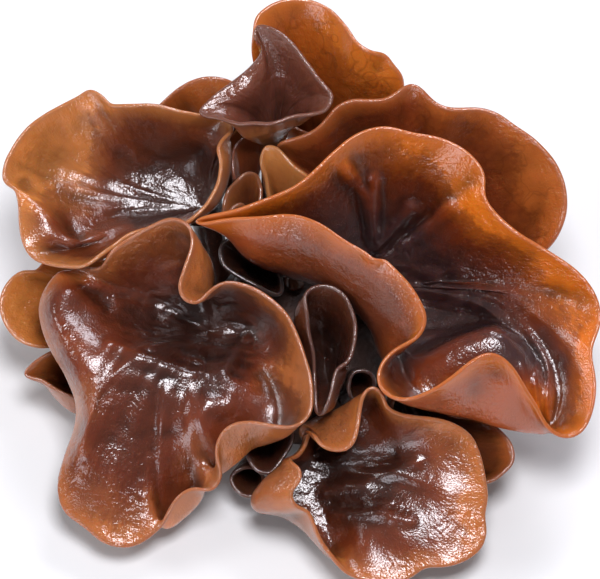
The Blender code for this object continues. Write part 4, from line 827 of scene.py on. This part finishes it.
left_upper_ribs = (
    ((-24.8, 14.4, 42), (-23, 16.6, 35.5)),
    ((-21.6, 17.2, 43.4), (-19.8, 18.2, 36.4), (-20, 18.8, 29.4)),
    ((-19.3, 20.3, 44.2), (-18, 21, 37.4), (-19, 20.4, 30.4)),
    ((-17.7, 23.8, 45), (-16.9, 24.8, 38.8), (-18.4, 22.2, 31.4)),
    ((-17.4, 27.2, 45.8), (-16.5, 28.5, 40), (-18.2, 24.4, 32.4)),
    ((-18.3, 30.6, 46.2), (-16.6, 31, 40.6), (-18.6, 26, 33)),
    ((-17, 33.4, 45.8), (-16.6, 32.2, 40.8), (-19, 27, 33.4)),
    ((-15.2, 35.2, 45.2), (-17.4, 32.2, 41), (-19.8, 27, 33.6)),
    ((-16.4, 36.8, 45), (-19.6, 33.2, 40.4), (-21.4, 28.6, 32.8)),
    ((-20.4, 37.4, 45.4), (-23, 33.6, 39.4), (-23.4, 29.2, 32)),
    ((-26, 38.4, 47), (-26.8, 34, 39.4), (-26.4, 29.4, 31.6)),
    ((-32, 39.8, 48), (-31.2, 34.4, 39.6), (-29.8, 29.4, 31.4)),
    ((-38, 39.6, 47.8), (-35.8, 34.2, 39.4), (-32.8, 29, 31.4)),
    ((-42, 39.9, 47.2), (-39, 34, 39.4), (-35.6, 28.4, 31.4)),
    ((-43.8, 42, 47.8), (-41.2, 35, 40.4), (-37.6, 28.2, 31.6)),
    ((-46, 43.2, 47.8), (-43.6, 35, 40.6), (-39.6, 27.6, 31.6)),
    ((-48.2, 41.8, 46.6), (-46, 33, 38.2), (-41, 26.4, 31.2)),
    ((-52, 39.8, 45.2), (-49, 32, 37), (-42.2, 25.6, 30.4)),
    ((-56, 37.6, 43.8), (-52, 31, 36), (-43.2, 24.4, 29.8)),
    ((-59.6, 34.7, 42.2), (-54.5, 29.5, 35), (-44, 23.2, 29.4)),
    ((-62.3, 31, 40.8), (-56.5, 27, 34.3), (-44.4, 22, 29.1)),
    ((-64, 27, 39.4), (-57.5, 24.5, 34), (-44, 21, 29)),
    ((-64.2, 24, 38.4), (-57.5, 22, 35), (-50, 20, 30), (-42, 19.5, 28)),
    ((-62.2, 22.6, 38.4), (-56.5, 20.2, 36.5), (-50.5, 17.5, 31), (-42, 18, 28)),
    ((-61.2, 19, 37.2), (-55, 17.4, 36.8), (-50, 14.2, 32), (-41.5, 17, 27.6)),
    ((-61, 15, 35.6), (-54.4, 14.2, 35.8), (-49.4, 11.8, 32.2), (-41, 16, 27.4)),
    ((-60.3, 11, 34.3), (-54.2, 11, 34.3), (-48, 10.4, 32), (-40, 15.2, 27.2)),
    ((-58.4, 7.8, 33.4), (-53, 9, 31.4), (-46, 10.4, 30.6), (-39, 14.8, 27)),
    ((-55, 6.1, 33.6), (-50, 8.6, 30), (-43, 11.4, 29.2), (-37, 14.6, 27)),
    ((-50, 5.4, 35), (-46, 8.6, 30), (-40, 12.2, 28.6), (-35, 14.8, 27)),
    ((-46.4, 5.6, 36.4), (-43, 9.2, 30.4), (-37, 13, 28.4)),
    ((-43.5, 7.8, 37), (-40, 10.6, 31), (-35, 13.8, 28.4)),
    ((-40.4, 10.2, 35.6), (-37, 12.2, 30.8), (-32.4, 14.4, 28.4)),
    ((-37, 12.2, 35), (-34, 13.4, 31), (-30, 15, 28.6)),
    ((-33.4, 13.4, 35.8), (-31, 14.2, 31.6), (-28, 15.6, 28.8)),
    ((-29.4, 14, 38.4), (-27.4, 15, 33), (-25.6, 16.2, 29)),
)
make_ear(
    "left_upper_ear",
    throat=(-21, 18, 25),
    ribs=left_upper_ribs,
    columns=320,
    rings=73,
    stalk=3.6,
    foot_spot=(140, 28),
    lumps=(0.4, 0.14, 0.07, 231),
    folds=(
        (0.8, 1.6, ((-50, 10), (-44, 11.5), (-38, 14))),
        (-0.7, 1.6, ((-60, 23), (-52, 16), (-48, 11))),
        (0.5, 1.8, ((-46, 40), (-40, 33), (-34, 28))),
    ),
    spots=(
        (-53, 30, 10, 0.4), (-46, 22, 7, 0.2), (-18, 32, 9, -0.3), (-36, 36, 7, -0.2),
        (-50, 7, 8, -0.1), (-55, 14, 6, -0.15),
    ),
    deep=(0.034, 0.01, 0.006),
    middle=(0.14, 0.03, 0.009),
    edge=(0.48, 0.165, 0.038),
    outside=(0.42, 0.13, 0.036),
)

# ----------------------------------------
# Top ear: an upright amber lobe at the back, veined and thin enough for light to pass.

top_ribs = (
    ((-9.8, 56, 57.8), (-5, 51, 51.4), (0, 38, 35.4)),
    ((-9.3, 58.8, 59.2), (-4, 52.6, 52.4), (1, 39, 36.4)),
    ((-7, 61, 60.2), (-2.5, 54, 53), (2, 40, 37)),
    ((-3, 62.6, 60.7), (0, 54.5, 53.4), (3, 40, 37.4)),
    ((1.5, 62.6, 60.5), (3, 54, 53.4), (4.5, 40, 37.4)),
    ((6, 60.7, 60), (6, 52.5, 53), (6, 39, 37)), ((9.4, 57.2, 59.4), (8.5, 50, 52), (7, 38, 36.4)),
    ((12, 53.4, 58.8), (10.5, 47.5, 50.6), (8, 36.5, 35.6)),
    ((15.2, 51.3, 58), (12.5, 45.5, 49), (9, 35, 34.6)),
    ((18.4, 50.6, 56.6), (14.5, 44, 47.6), (9.5, 34, 33.8)),
    ((20, 48.6, 55), (15.5, 42, 45.6), (9.6, 32.5, 33)),
    ((21.9, 46.2, 52.6), (16, 40, 43), (9.6, 31, 32)),
    ((22.1, 43, 49.4), (15.5, 37.5, 40), (9.4, 29.5, 31)), ((19, 38.5, 44.4), (13, 33, 35.6)),
    ((12, 35, 40), (9, 29, 32)), ((3, 34, 36.6), (4, 28, 31)), ((-4, 38, 38), (0, 31, 29.4)),
    ((-8.5, 45, 44), (-2, 36, 33.4)), ((-10.4, 52, 53.4), (-5.5, 44, 42.4), (-1, 35, 32.4)),
)
make_ear(
    "top_ear",
    throat=(4, 22, 23.5),
    ribs=top_ribs,
    columns=240,
    rings=65,
    stalk=3.0,
    foot_spot=(75, 42),
    lumps=(0.3, 0.08, 0.2, 331),
    spots=(
        (-2, 58, 5, -0.2), (12, 52, 8, 0.15),
    ),
    deep=(0.1, 0.018, 0.004),
    middle=(0.32, 0.07, 0.008),
    edge=(0.52, 0.14, 0.016),
    outside=(0.4, 0.11, 0.024),
    veins=0.45,
)

# ----------------------------------------
# Top fold ear: a dark wrinkled flap that stands in front of the top ear, its lower rim curled out.

top_fold_ribs = (
    ((-9.4, 56.6, 60.8), (-7.6, 52.5, 57.5), (-5.5, 44, 48.4)),
    ((-6.8, 56.3, 61.5), (-5.8, 52.5, 57.5), (-5, 44, 48.4)),
    ((-3.8, 54.8, 61.4), (-4, 51, 56.5), (-4, 43, 47.6)),
    ((-1, 51.8, 60.4), (-2, 48.6, 55), (-3.5, 42, 46.6)),
    ((1.6, 48.4, 59), (-0.2, 46, 53.5), (-3, 41, 46)),
    ((4.2, 44.7, 57.6), (1.4, 43.6, 52.4), (-2.6, 40, 45.4)),
    ((6.4, 41.2, 56.2), (2.4, 41.6, 51.8), (-2.4, 39, 44.6)),
    ((5.4, 39.2, 55), (2, 40, 51), (-2.6, 38, 43.6)),
    ((2, 38.2, 54), (0.8, 38, 48), (-3, 36.8, 42)),
    ((-2, 37.6, 53.4), (-2.4, 36.4, 47), (-4, 35, 41)),
    ((-6, 36.2, 52.8), (-6.2, 34.8, 46.2), (-5, 33, 39)),
    ((-10, 36.2, 52), (-10, 34, 45.8), (-6.4, 32, 38)),
    ((-13.2, 36, 51.4), (-11.8, 34.2, 46.2), (-7.4, 32, 38)),
    ((-17, 37.4, 51.2), (-13.4, 37, 48.4), (-8.4, 34, 40)),
    ((-21.5, 38.8, 50.8), (-16, 39.7, 50), (-9, 36.5, 42)),
    ((-19, 41.6, 51.4), (-14.6, 41.4, 51), (-8.6, 38, 44)),
    ((-14.4, 45.2, 53), (-12, 44, 52.6), (-8, 40, 46)),
    ((-10.6, 48, 54.8), (-9.4, 46.8, 54), (-7.2, 42, 47.6)),
    ((-8.6, 50.6, 56.4), (-8, 49.4, 55.6), (-6.6, 43.4, 48.6)),
    ((-8.2, 53.2, 58.4), (-7.6, 51.6, 56.8), (-6, 44, 48.8)),
)
make_ear(
    "top_fold_ear",
    throat=(-6, 25, 30),
    ribs=top_fold_ribs,
    columns=260,
    rings=65,
    stalk=2.8,
    foot_spot=(100, 55),
    lumps=(0.3, 0.26, 0.2, 431),
    deep=(0.045, 0.014, 0.009),
    middle=(0.11, 0.031, 0.018),
    edge=(0.15, 0.045, 0.022),
    outside=(0.4, 0.14, 0.045),
)

# ----------------------------------------
# Back right ear: a tall fan behind the cup, amber at the edge, with veins that spread from its throat.

back_right_ribs = (
    ((53.4, 8.6, 34), (44, 10, 27)), ((55.6, 12, 37.4), (46, 13, 29.4)),
    ((57.2, 16.4, 40), (47, 16, 32), (32, 14, 25.6)), ((57.2, 20.8, 42.6), (47, 19.5, 34.6)),
    ((56, 25.2, 44.8), (46, 23, 37)), ((53.6, 29.2, 46.8), (44, 26, 38.5)),
    ((50.2, 32.4, 48.6), (42, 28, 40)), ((46.2, 35.2, 50), (39, 29.5, 41)),
    ((42.4, 37.8, 51.4), (36, 31, 41.8)), ((38.4, 38.9, 52), (33, 31.5, 42)),
    ((34.4, 38.8, 52), (30.5, 31.5, 42)), ((31, 39.2, 51.8), (28.5, 31.5, 42)),
    ((28.6, 40.6, 52.4), (27, 32.5, 42.6)), ((26.6, 42.8, 54), (25.6, 34, 44.6)),
    ((24.3, 44.2, 54.8), (24, 35, 46)), ((21.9, 43, 53.8), (22, 34.6, 45)),
    ((19, 41, 52.8), (20, 33.5, 43.6)), ((15, 40.5, 52.4), (17, 33, 43)),
    ((11, 40.5, 52.2), (14, 32.5, 42.6)), ((8.3, 39.2, 51.4), (11.6, 31.5, 42)),
    ((6, 36.6, 50), (9.6, 29.6, 40.6)), ((3.6, 34.3, 48.6), (7.6, 27.6, 39)),
    ((0, 32.6, 46.6), (6, 26, 36.4)), ((-3.6, 31.6, 45), (4.6, 25, 34.6)),
    ((-5, 30.6, 42.6), (5, 24, 32.4)), ((-2.6, 28.4, 39.6), (7, 22, 30.4)),
    ((3.6, 24, 35.4), (9.6, 19.4, 28.4)), ((10, 19.4, 31), (12.6, 16.6, 26)), ((20, 14.4, 26.4),),
    ((31, 10, 24),), ((42, 7, 24.4),), ((49.6, 7, 28),),
)
make_ear(
    "back_right_ear",
    throat=(17, 13, 21.5),
    ribs=back_right_ribs,
    columns=300,
    rings=68,
    stalk=3.4,
    foot_spot=(50, 40),
    lumps=(0.35, 0.1, 0.2, 531),
    spots=(
        (10, 36, 12, -0.4), (22, 42, 7, -0.15), (50, 24, 10, 0.2),
    ),
    deep=(0.05, 0.012, 0.005),
    middle=(0.17, 0.032, 0.008),
    edge=(0.42, 0.11, 0.02),
    outside=(0.42, 0.12, 0.03),
    veins=0.3,
)

# ----------------------------------------
# Front right ear: a loose lobe that lies low at the front, with its left flank rolled outwards and
# a fold hanging from its back rim.

front_right_ribs = (
    ((0.2, -38.6, 23.6), (-3.8, -39.4, 17), (0, -38.4, 11.5)),
    ((0.2, -41, 22.6), (-6.4, -41.6, 15.5), (-1, -40, 10.5)),
    ((-1.9, -43.8, 21), (-9.2, -45, 12.4), (-1, -41.5, 9.6)),
    ((-1, -46.2, 19.4), (-9.4, -46.8, 10.4), (0, -43, 9)),
    ((1.8, -47.4, 18), (-4.6, -47.6, 9), (2, -43.6, 9)),
    ((3.2, -50.4, 16), (-0.4, -49.6, 7.8), (3.4, -44.4, 8.6)),
    ((4.8, -54.2, 13.6), (3.4, -52.6, 6.6), (5, -45, 8.6)),
    ((8, -58, 11), (7.4, -56.6, 6), (6.6, -46, 8.6)),
    ((10.2, -60.6, 9.2), (10.4, -55, 7.4), (8, -46.6, 9)), ((14.2, -62.2, 8.2), (13.6, -55.4, 9)),
    ((19, -62.7, 7.8), (16.4, -54, 10)), ((23.6, -61.8, 8), (19, -53, 11)),
    ((26.6, -59.7, 9), (21, -51.6, 12)), ((31, -59.5, 9), (23.6, -50, 12.6)),
    ((35.4, -58.2, 9.4), (26, -48.6, 13.2)), ((38.8, -55.6, 10.4), (28, -46.6, 14)),
    ((40, -51.8, 12), (29, -44.6, 15)), ((39.6, -48.4, 13.4), (29.4, -42.8, 16)),
    ((40.2, -45, 15.2), (29.4, -41, 16.6)), ((39.6, -40.4, 17.4), (28.6, -39.4, 17)),
    ((38.6, -36, 19.6), (27.4, -37.6, 17.6)), ((36.6, -31.9, 22), (25.6, -36, 18.2)),
    ((33, -29.4, 24), (24, -34.6, 18.6)), ((28.8, -28.3, 25.6), (22, -33.6, 18.6)),
    ((24.6, -27.8, 27), (20, -33, 18.4)), ((20.8, -27, 28.4), (18, -31.6, 18.6)),
    ((18, -25.2, 30.6), (16.4, -29, 19.6)), ((17, -22.8, 32), (15, -27.6, 20)),
    ((15.6, -21.4, 32.6), (13.8, -27, 20)), ((14.2, -22.8, 32), (11.6, -26.4, 21.6), (11, -31, 14)),
    ((13.3, -26, 29.8), (9.8, -26.8, 21), (9.6, -31, 13.6)),
    ((13, -29.6, 28.2), (8, -27.6, 20), (8.4, -31, 13.2)),
    ((12.2, -32.6, 26.8), (6.4, -28.4, 19.4), (7.4, -31.4, 12.8)),
    ((10, -34.7, 25.8), (4.6, -28.6, 18.8), (6.4, -32, 12.4)),
    ((7, -34.9, 25.2), (3.2, -29.4, 18.2), (5.4, -32.6, 12)),
    ((4.2, -33.7, 24.8), (1.6, -30, 17.8), (4.6, -33.2, 11.8)),
    ((2.4, -30.6, 24.4), (0.8, -30.8, 18), (4, -34, 11.6)),
    ((2, -31.6, 20.6), (1.8, -32, 16.4), (3.6, -35, 11.4)),
    ((1.4, -33.8, 17.4), (1.6, -34.4, 14), (3.2, -36, 11.4)),
    ((-0.2, -35.8, 18.4), (0, -36.4, 14), (2.6, -37, 11.4)),
    ((-1.8, -37, 22.4), (-2.8, -37.8, 17), (1.4, -37.6, 11.4)),
)
make_ear(
    "front_right_ear",
    throat=(7, -38, 11),
    ribs=front_right_ribs,
    columns=320,
    rings=73,
    stalk=3.6,
    foot_spot=(285, 25),
    lumps=(0.4, 0.13, 0.2, 631),
    folds=(
        (0.8, 1.5, ((6, -44), (14, -42), (25, -37.5))),
        (0.7, 1.3, ((8, -49), (18, -48.5), (24, -50))),
        (-0.7, 1.6, ((6, -40), (12, -38), (20, -36))),
    ),
    spots=(
        (12, -46, 6, -0.3), (36, -46, 6, 0.2), (18, -54, 7, -0.1), (22, -34, 5, -0.2),
        (27, -52, 6, -0.12),
    ),
    deep=(0.034, 0.01, 0.006),
    middle=(0.15, 0.028, 0.008),
    edge=(0.44, 0.13, 0.026),
    outside=(0.33, 0.1, 0.03),
)

# ----------------------------------------
# Centre curl ear: a small upright curl beside the two front ears, dark red inside.

centre_curl_ribs = (
    ((3.4, -14, 31), (1.8, -13.4, 24.6)), ((2.4, -9, 34), (1, -9.8, 28.4), (2.6, -12.6, 22.4)),
    ((1.9, -4.6, 36.8), (0, -6.6, 31), (2.6, -11.6, 23)),
    ((1.6, -1.2, 38), (0.6, -4, 32), (3.2, -10.8, 23.4)),
    ((3.8, 0.4, 38.2), (3.6, -4.6, 31), (4.4, -10.4, 23)),
    ((6.6, 0.3, 38), (6.6, -5, 31), (5.6, -10.4, 23)), ((9.2, -1.4, 37.4), (8.4, -7, 30.4)),
    ((10.8, -4.4, 36.6), (9.2, -9.2, 29.4)), ((11.5, -8, 36), (9.6, -11.2, 28.4)),
    ((11.2, -12, 35), (9.4, -13.4, 27.4)), ((10, -15.2, 34.2), (9, -15.6, 26.6)),
    ((7.6, -16.8, 34), (8.8, -18, 26.6)), ((6.6, -19.6, 33.2), (7.6, -21, 25.8)),
    ((6, -23, 32), (6.8, -23.6, 25.4)), ((5, -26, 30.6), (5.8, -25, 25)),
    ((4.2, -26.6, 29.2), (4.6, -24, 24)), ((3.8, -23.4, 28), (4, -21.4, 23)),
    ((3.6, -18.6, 28.6), (3.2, -17.4, 23)),
)
make_ear(
    "centre_curl_ear",
    throat=(5.4, -15, 18),
    ribs=centre_curl_ribs,
    columns=200,
    rings=51,
    stalk=2.8,
    foot_spot=(300, 50),
    lumps=(0.25, 0.12, 0.2, 731),
    deep=(0.024, 0.008, 0.005),
    middle=(0.05, 0.012, 0.006),
    edge=(0.1, 0.028, 0.012),
    outside=(0.12, 0.036, 0.016),
)

# ----------------------------------------
# Right under ear: a low lobe below the cup.

right_under_ribs = (
    ((22, -22.4, 17.6), (22, -21.6, 14)), ((26, -24.6, 17.4), (25, -23.2, 14)),
    ((31, -26.8, 17), (28, -25.4, 13.2)), ((35.6, -28.2, 17), (30.6, -27.4, 12.6)),
    ((39.6, -28.6, 17), (33, -29, 12.2)), ((43.4, -31, 16.8), (35.6, -31.4, 12)),
    ((45.6, -34, 16.4), (37, -33.6, 11.4)), ((45.8, -37, 15.6), (40, -37.6, 10.6), (33, -32, 9.6)),
    ((43.6, -39.6, 14.6), (40, -40.2, 9.2), (31, -31.6, 8.8)),
    ((40, -41.6, 13.6), (36.6, -40.6, 8), (28, -30, 8.2)), ((34, -40.6, 12.4), (30, -36, 7.4)),
    ((28, -36.4, 12), (26, -31.4, 7.6)), ((23, -31, 12.6), (22.6, -27, 8.6)),
    ((20.4, -25.6, 15), (20.6, -23.4, 11)),
)
make_ear(
    "right_under_ear",
    throat=(21, -20, 11),
    ribs=right_under_ribs,
    columns=180,
    rings=43,
    stalk=2.4,
    foot_spot=(325, 22),
    lumps=(0.3, 0.1, 0.2, 831),
    deep=(0.02, 0.006, 0.004),
    middle=(0.09, 0.022, 0.009),
    edge=(0.3, 0.08, 0.018),
    outside=(0.2, 0.05, 0.016),
)

# ----------------------------------------
# Left small ear: a low tongue at the far left, tan: its own pale flesh, partly with painted glow of light
# passing through.

left_small_ribs = (
    ((-50, 7, 24.6), (-42, 4, 18)), ((-55.4, 6.2, 24.6), (-47, 3, 18)),
    ((-57.4, 3.8, 24.2), (-49, 1.4, 17.4)), ((-61.2, 3.3, 23.6), (-51, 0.4, 17)),
    ((-64, 0.8, 22.6), (-52.4, -1, 16.6)), ((-65.2, -2.8, 21.4), (-52.6, -3, 16)),
    ((-64, -7.4, 19.8), (-51.6, -5, 15.2)), ((-61.2, -10.8, 18.4), (-50, -6.6, 14.4)),
    ((-57.2, -12.2, 17.4), (-47.4, -7.6, 13.6)), ((-52, -11.4, 16.6), (-44, -7.4, 13)),
    ((-44, -9, 15), (-38, -6, 12.4)), ((-36, -4, 14.6),), ((-36, 2, 16.6),), ((-42, 6, 21),),
)
make_ear(
    "left_small_ear",
    throat=(-30, -1, 12.5),
    ribs=left_small_ribs,
    columns=180,
    rings=43,
    stalk=2.4,
    foot_spot=(170, 22),
    lumps=(0.3, 0.1, 0.2, 931),
    # Painted glow: the tan colours stand in part for light passing through the thin lobe.
    deep=(0.12, 0.03, 0.008),
    middle=(0.36, 0.11, 0.022),
    edge=(0.5, 0.17, 0.035),
    outside=(0.3, 0.09, 0.024),
)

# ----------------------------------------
# Left tip ear: a small pointed lobe under the left front ear.

left_tip_ribs = (
    ((-50, -13, 17.6), (-42, -13.6, 11.6)), ((-54.4, -14.2, 17.4), (-46, -15.4, 11)),
    ((-57.6, -16.2, 16.4), (-48.6, -17.2, 10.2)), ((-59.8, -18.5, 15), (-52, -19.6, 9.6)),
    ((-56.6, -19.2, 14.4), (-53.4, -21, 8.4)),
    ((-53, -21.4, 13.6), (-51.6, -24, 6.6), (-42, -20, 6.4)),
    ((-49.6, -23, 13), (-48.6, -26.6, 6), (-39, -21, 6)),
    ((-44.6, -23, 12.4), (-43, -25, 6), (-36, -20.4, 6.2)), ((-38, -19.6, 12), (-35, -19.6, 7.6)),
    ((-34, -13.6, 12.6),), ((-40, -11.6, 14.6),),
)
make_ear(
    "left_tip_ear",
    throat=(-27, -14, 9.5),
    ribs=left_tip_ribs,
    columns=160,
    rings=39,
    stalk=2.2,
    foot_spot=(205, 16),
    lumps=(0.3, 0.1, 0.2, 1031),
    deep=(0.03, 0.008, 0.004),
    middle=(0.15, 0.04, 0.012),
    edge=(0.32, 0.09, 0.02),
    outside=(0.3, 0.085, 0.024),
)

# ----------------------------------------
# Back small ear: a thin lobe behind the left upper ear.

back_small_ribs = (
    ((-32.4, 38, 40), (-26, 32.6, 30)), ((-30, 40.4, 43), (-24.6, 34.4, 32.6)),
    ((-27, 43, 45.4), (-22.8, 36, 35.4)), ((-23.6, 45, 47.4), (-20, 36, 38)),
    ((-19.6, 45.9, 48), (-17.8, 36.4, 38.2)), ((-16, 45.3, 47.6), (-16, 36, 37.6)),
    ((-13.6, 44, 46), (-14.6, 35, 36)), ((-12.6, 41, 43), (-14, 33, 33.4)),
    ((-13.4, 36.6, 38), (-14, 29.6, 29.6)), ((-17, 32.4, 33.4),), ((-22, 31.4, 30),),
    ((-29, 34.4, 33),),
)
make_ear(
    "back_small_ear",
    throat=(-14, 23, 21),
    ribs=back_small_ribs,
    columns=160,
    rings=39,
    stalk=2.4,
    foot_spot=(115, 25),
    lumps=(0.3, 0.1, 0.2, 1131),
    deep=(0.05, 0.013, 0.005),
    middle=(0.2, 0.05, 0.012),
    edge=(0.36, 0.1, 0.02),
    outside=(0.3, 0.085, 0.024),
)

# ----------------------------------------
# Centre tongue ear: a short bright tongue that stands in the middle of the clump.

centre_tongue_ribs = (
    ((-8.2, 28.8, 43), (-6, 22, 35.4)), ((-7.4, 30.8, 44.4), (-5.4, 23.6, 38)),
    ((-5.5, 30.6, 45), (-4.4, 24, 39)), ((-3.6, 28.6, 44.6), (-3, 22.6, 38.2)),
    ((-1.6, 26.3, 43.6), (-1.6, 20.6, 36.4)), ((1, 24.4, 42.4), (0, 18.6, 34.4)),
    ((2.8, 21.8, 39.8), (0.8, 16.6, 31.4)), ((1.8, 17.8, 35),), ((-2, 15, 31),),
    ((-5.6, 16.4, 33),), ((-6.6, 20.4, 36.4), (-4.8, 17, 31)), ((-7.2, 25, 39.8), (-5.6, 19.6, 33)),
)
make_ear(
    "centre_tongue_ear",
    throat=(-2, 10.4, 21.6),
    ribs=centre_tongue_ribs,
    columns=160,
    rings=39,
    stalk=2.2,
    foot_spot=(85, 68),
    lumps=(0.25, 0.08, 0.2, 1231),
    deep=(0.1, 0.03, 0.01),
    middle=(0.32, 0.11, 0.028),
    edge=(0.5, 0.19, 0.05),
    outside=(0.4, 0.13, 0.035),
)

# ----------------------------------------
# Centre roll ear: a short ear rolled in on itself, beside the tongue.

centre_roll_ribs = (
    ((-16.2, 17.8, 39.6), (-13, 15.6, 34)), ((-15.1, 21.6, 40.6), (-12.8, 18, 35)),
    ((-13.6, 23.2, 41.8), (-12.2, 19.4, 36)), ((-11.6, 24.8, 42.4), (-11.4, 20, 36)),
    ((-9.8, 24.8, 41.4), (-10.6, 19.8, 35.6)), ((-9, 22.6, 39.6), (-10, 18, 34.2)),
    ((-9.6, 18.4, 37.6), (-10, 15.8, 32)), ((-11.2, 17.4, 37), (-11, 15.6, 31.6)),
    ((-12.6, 18.8, 38.6), (-11.8, 16.2, 32.6)), ((-14.6, 18.2, 39), (-12.6, 15.8, 33)),
    ((-16.4, 15.8, 37.8), (-12.4, 14, 31.4)),
)
make_ear(
    "centre_roll_ear",
    throat=(-9.4, 12, 24.4),
    ribs=centre_roll_ribs,
    columns=160,
    rings=39,
    stalk=2.2,
    foot_spot=(150, 52),
    lumps=(0.25, 0.1, 0.2, 1331),
    deep=(0.03, 0.009, 0.005),
    middle=(0.1, 0.026, 0.01),
    edge=(0.24, 0.075, 0.02),
    outside=(0.2, 0.06, 0.02),
)

# ----------------------------------------
# Centre back ear: a small reddish ear at the back of the middle.

centre_back_ribs = (
    ((-14, 24, 34), (-12.6, 20.4, 28.4)), ((-14.4, 28, 36), (-13, 22.8, 30)),
    ((-13.8, 31.4, 36.4), (-12.6, 24.6, 31)), ((-11.4, 33.4, 36), (-11.6, 25.4, 31)),
    ((-8.4, 32.8, 34.4), (-10.6, 24.6, 29.6)), ((-7.4, 30.6, 32), (-10.4, 22.8, 27.6)),
    ((-8.4, 27.4, 29.4), (-10.6, 20.8, 26)), ((-9.6, 24.4, 27.6),), ((-12, 22, 28),),
)
make_ear(
    "centre_back_ear",
    throat=(-11.4, 17.6, 22),
    ribs=centre_back_ribs,
    columns=140,
    rings=34,
    stalk=2.0,
    foot_spot=(118, 48),
    lumps=(0.25, 0.1, 0.2, 1431),
    deep=(0.03, 0.008, 0.004),
    middle=(0.1, 0.022, 0.008),
    edge=(0.2, 0.05, 0.014),
    outside=(0.18, 0.045, 0.016),
)

# ----------------------------------------
# Centre dark ear: a low wrinkled ear deep in the middle, nearly black, partly with painted shade.

centre_dark_ribs = (
    ((-16.6, 9.6, 31.6), (-12, 6.4, 25.6)), ((-12, 11, 32), (-10, 7.4, 26.6)),
    ((-8.4, 7.8, 29.6), (-8.2, 5.8, 24.8)), ((-6.2, 4.8, 27), (-6.6, 4, 22.6)),
    ((-4.6, 2, 24.8), (-5.6, 2.4, 21.6)), ((-4.6, -0.6, 25.2), (-5.6, 1, 21.6)),
    ((-8, 0.6, 28), (-7.4, 1.4, 22.8)), ((-13, 3.2, 29.4), (-10.4, 3, 23.8)),
    ((-16.4, 6, 30.6), (-12, 4.6, 24.8)),
)
make_ear(
    "centre_dark_ear",
    throat=(-8, 3, 19.2),
    ribs=centre_dark_ribs,
    columns=160,
    rings=39,
    stalk=2.4,
    foot_spot=(180, 72),
    lumps=(0.4, 0.2, 0.2, 1531),
    # Partly its own dark flesh and partly painted shade: near-black colours all the way to the rim, so
    # the middle of the clump reads as shadow.
    deep=(0.008, 0.003, 0.0025),
    middle=(0.018, 0.006, 0.004),
    edge=(0.028, 0.009, 0.005),
    outside=(0.03, 0.01, 0.006),
)

# ----------------------------------------
# Centre round ear: a small round dark lobe under the cup's near end.

centre_round_ribs = (
    ((11, -22.2, 22), (11.2, -21, 17.6)), ((11, -20.2, 23), (11.2, -19.8, 18)),
    ((11.8, -18.4, 24), (11.6, -18.8, 18.6)), ((13.8, -18, 24), (12.8, -18.6, 18.6)),
    ((15.4, -19, 23), (13.8, -19.2, 17.8)), ((15.6, -21, 21.4), (14, -20.6, 17)),
    ((14, -22.8, 20.4),), ((11.6, -23.4, 20.8),),
)
make_ear(
    "centre_round_ear",
    throat=(12.2, -19.4, 13),
    ribs=centre_round_ribs,
    columns=140,
    rings=34,
    stalk=2.0,
    foot_spot=(310, 35),
    lumps=(0.3, 0.16, 0.2, 1631),
    deep=(0.01, 0.004, 0.003),
    middle=(0.03, 0.009, 0.005),
    edge=(0.06, 0.017, 0.009),
    outside=(0.05, 0.015, 0.008),
)

# ----------------------------------------
# Front small ear: a short dark lobe between the two front ears.

front_small_ribs = (
    ((-10.6, -33, 14.4), (-8.6, -32, 10.5)), ((-11.2, -35, 14), (-8.8, -33.4, 10)),
    ((-10.6, -37.2, 13.6), (-8.4, -34.6, 9.6)), ((-8.8, -39.2, 13), (-7.6, -35.6, 9.2)),
    ((-6.6, -39.4, 12.6), (-6.6, -35.4, 9)), ((-4.8, -37.6, 12.8), (-5.6, -34.2, 9)),
    ((-3.4, -35.4, 13.4), (-4.6, -32.8, 9.4)), ((-2.2, -33, 14.4), (-3.8, -31.4, 10)),
    ((-2, -30.4, 15.2), (-3.6, -29.8, 10.6)), ((-4, -29, 15.2), (-4.6, -28.6, 11)),
    ((-7, -29.6, 15), (-6.2, -29, 11)), ((-9.2, -31, 14.8), (-7.6, -30.4, 11)),
)
make_ear(
    "front_small_ear",
    throat=(-5, -29.6, 8),
    ribs=front_small_ribs,
    columns=140,
    rings=34,
    stalk=2.0,
    foot_spot=(263, 32),
    lumps=(0.3, 0.14, 0.2, 1731),
    deep=(0.01, 0.004, 0.003),
    middle=(0.035, 0.01, 0.006),
    edge=(0.07, 0.02, 0.01),
    outside=(0.06, 0.018, 0.009),
)

# ----------------------------------------
# Front curl ear: the smallest, a tiny curl at the front edge of the foot.

front_curl_ribs = (
    ((-14.4, -41, 9.4), (-12, -39, 4.6)), ((-13.4, -43.2, 8.6), (-11.6, -40.2, 4)),
    ((-11.6, -44.4, 8), (-10.8, -40.8, 3.8)), ((-9.8, -44.2, 7.8), (-9.8, -40.4, 3.8)),
    ((-8.6, -42.4, 8), (-9, -39.2, 4)), ((-8.8, -40.4, 8.2), (-9.2, -38, 4.4)),
    ((-10, -39.4, 8.6), (-9.9, -37.4, 4.8)), ((-12.4, -39.4, 9.6), (-11, -37.6, 5.2)),
)
make_ear(
    "front_curl_ear",
    throat=(-9.6, -35.4, 4),
    ribs=front_curl_ribs,
    columns=130,
    rings=30,
    stalk=1.8,
    foot_spot=(250, 15),
    lumps=(0.2, 0.1, 0.2, 1831),
    deep=(0.014, 0.004, 0.003),
    middle=(0.04, 0.012, 0.007),
    edge=(0.09, 0.028, 0.013),
    outside=(0.09, 0.028, 0.013),
)
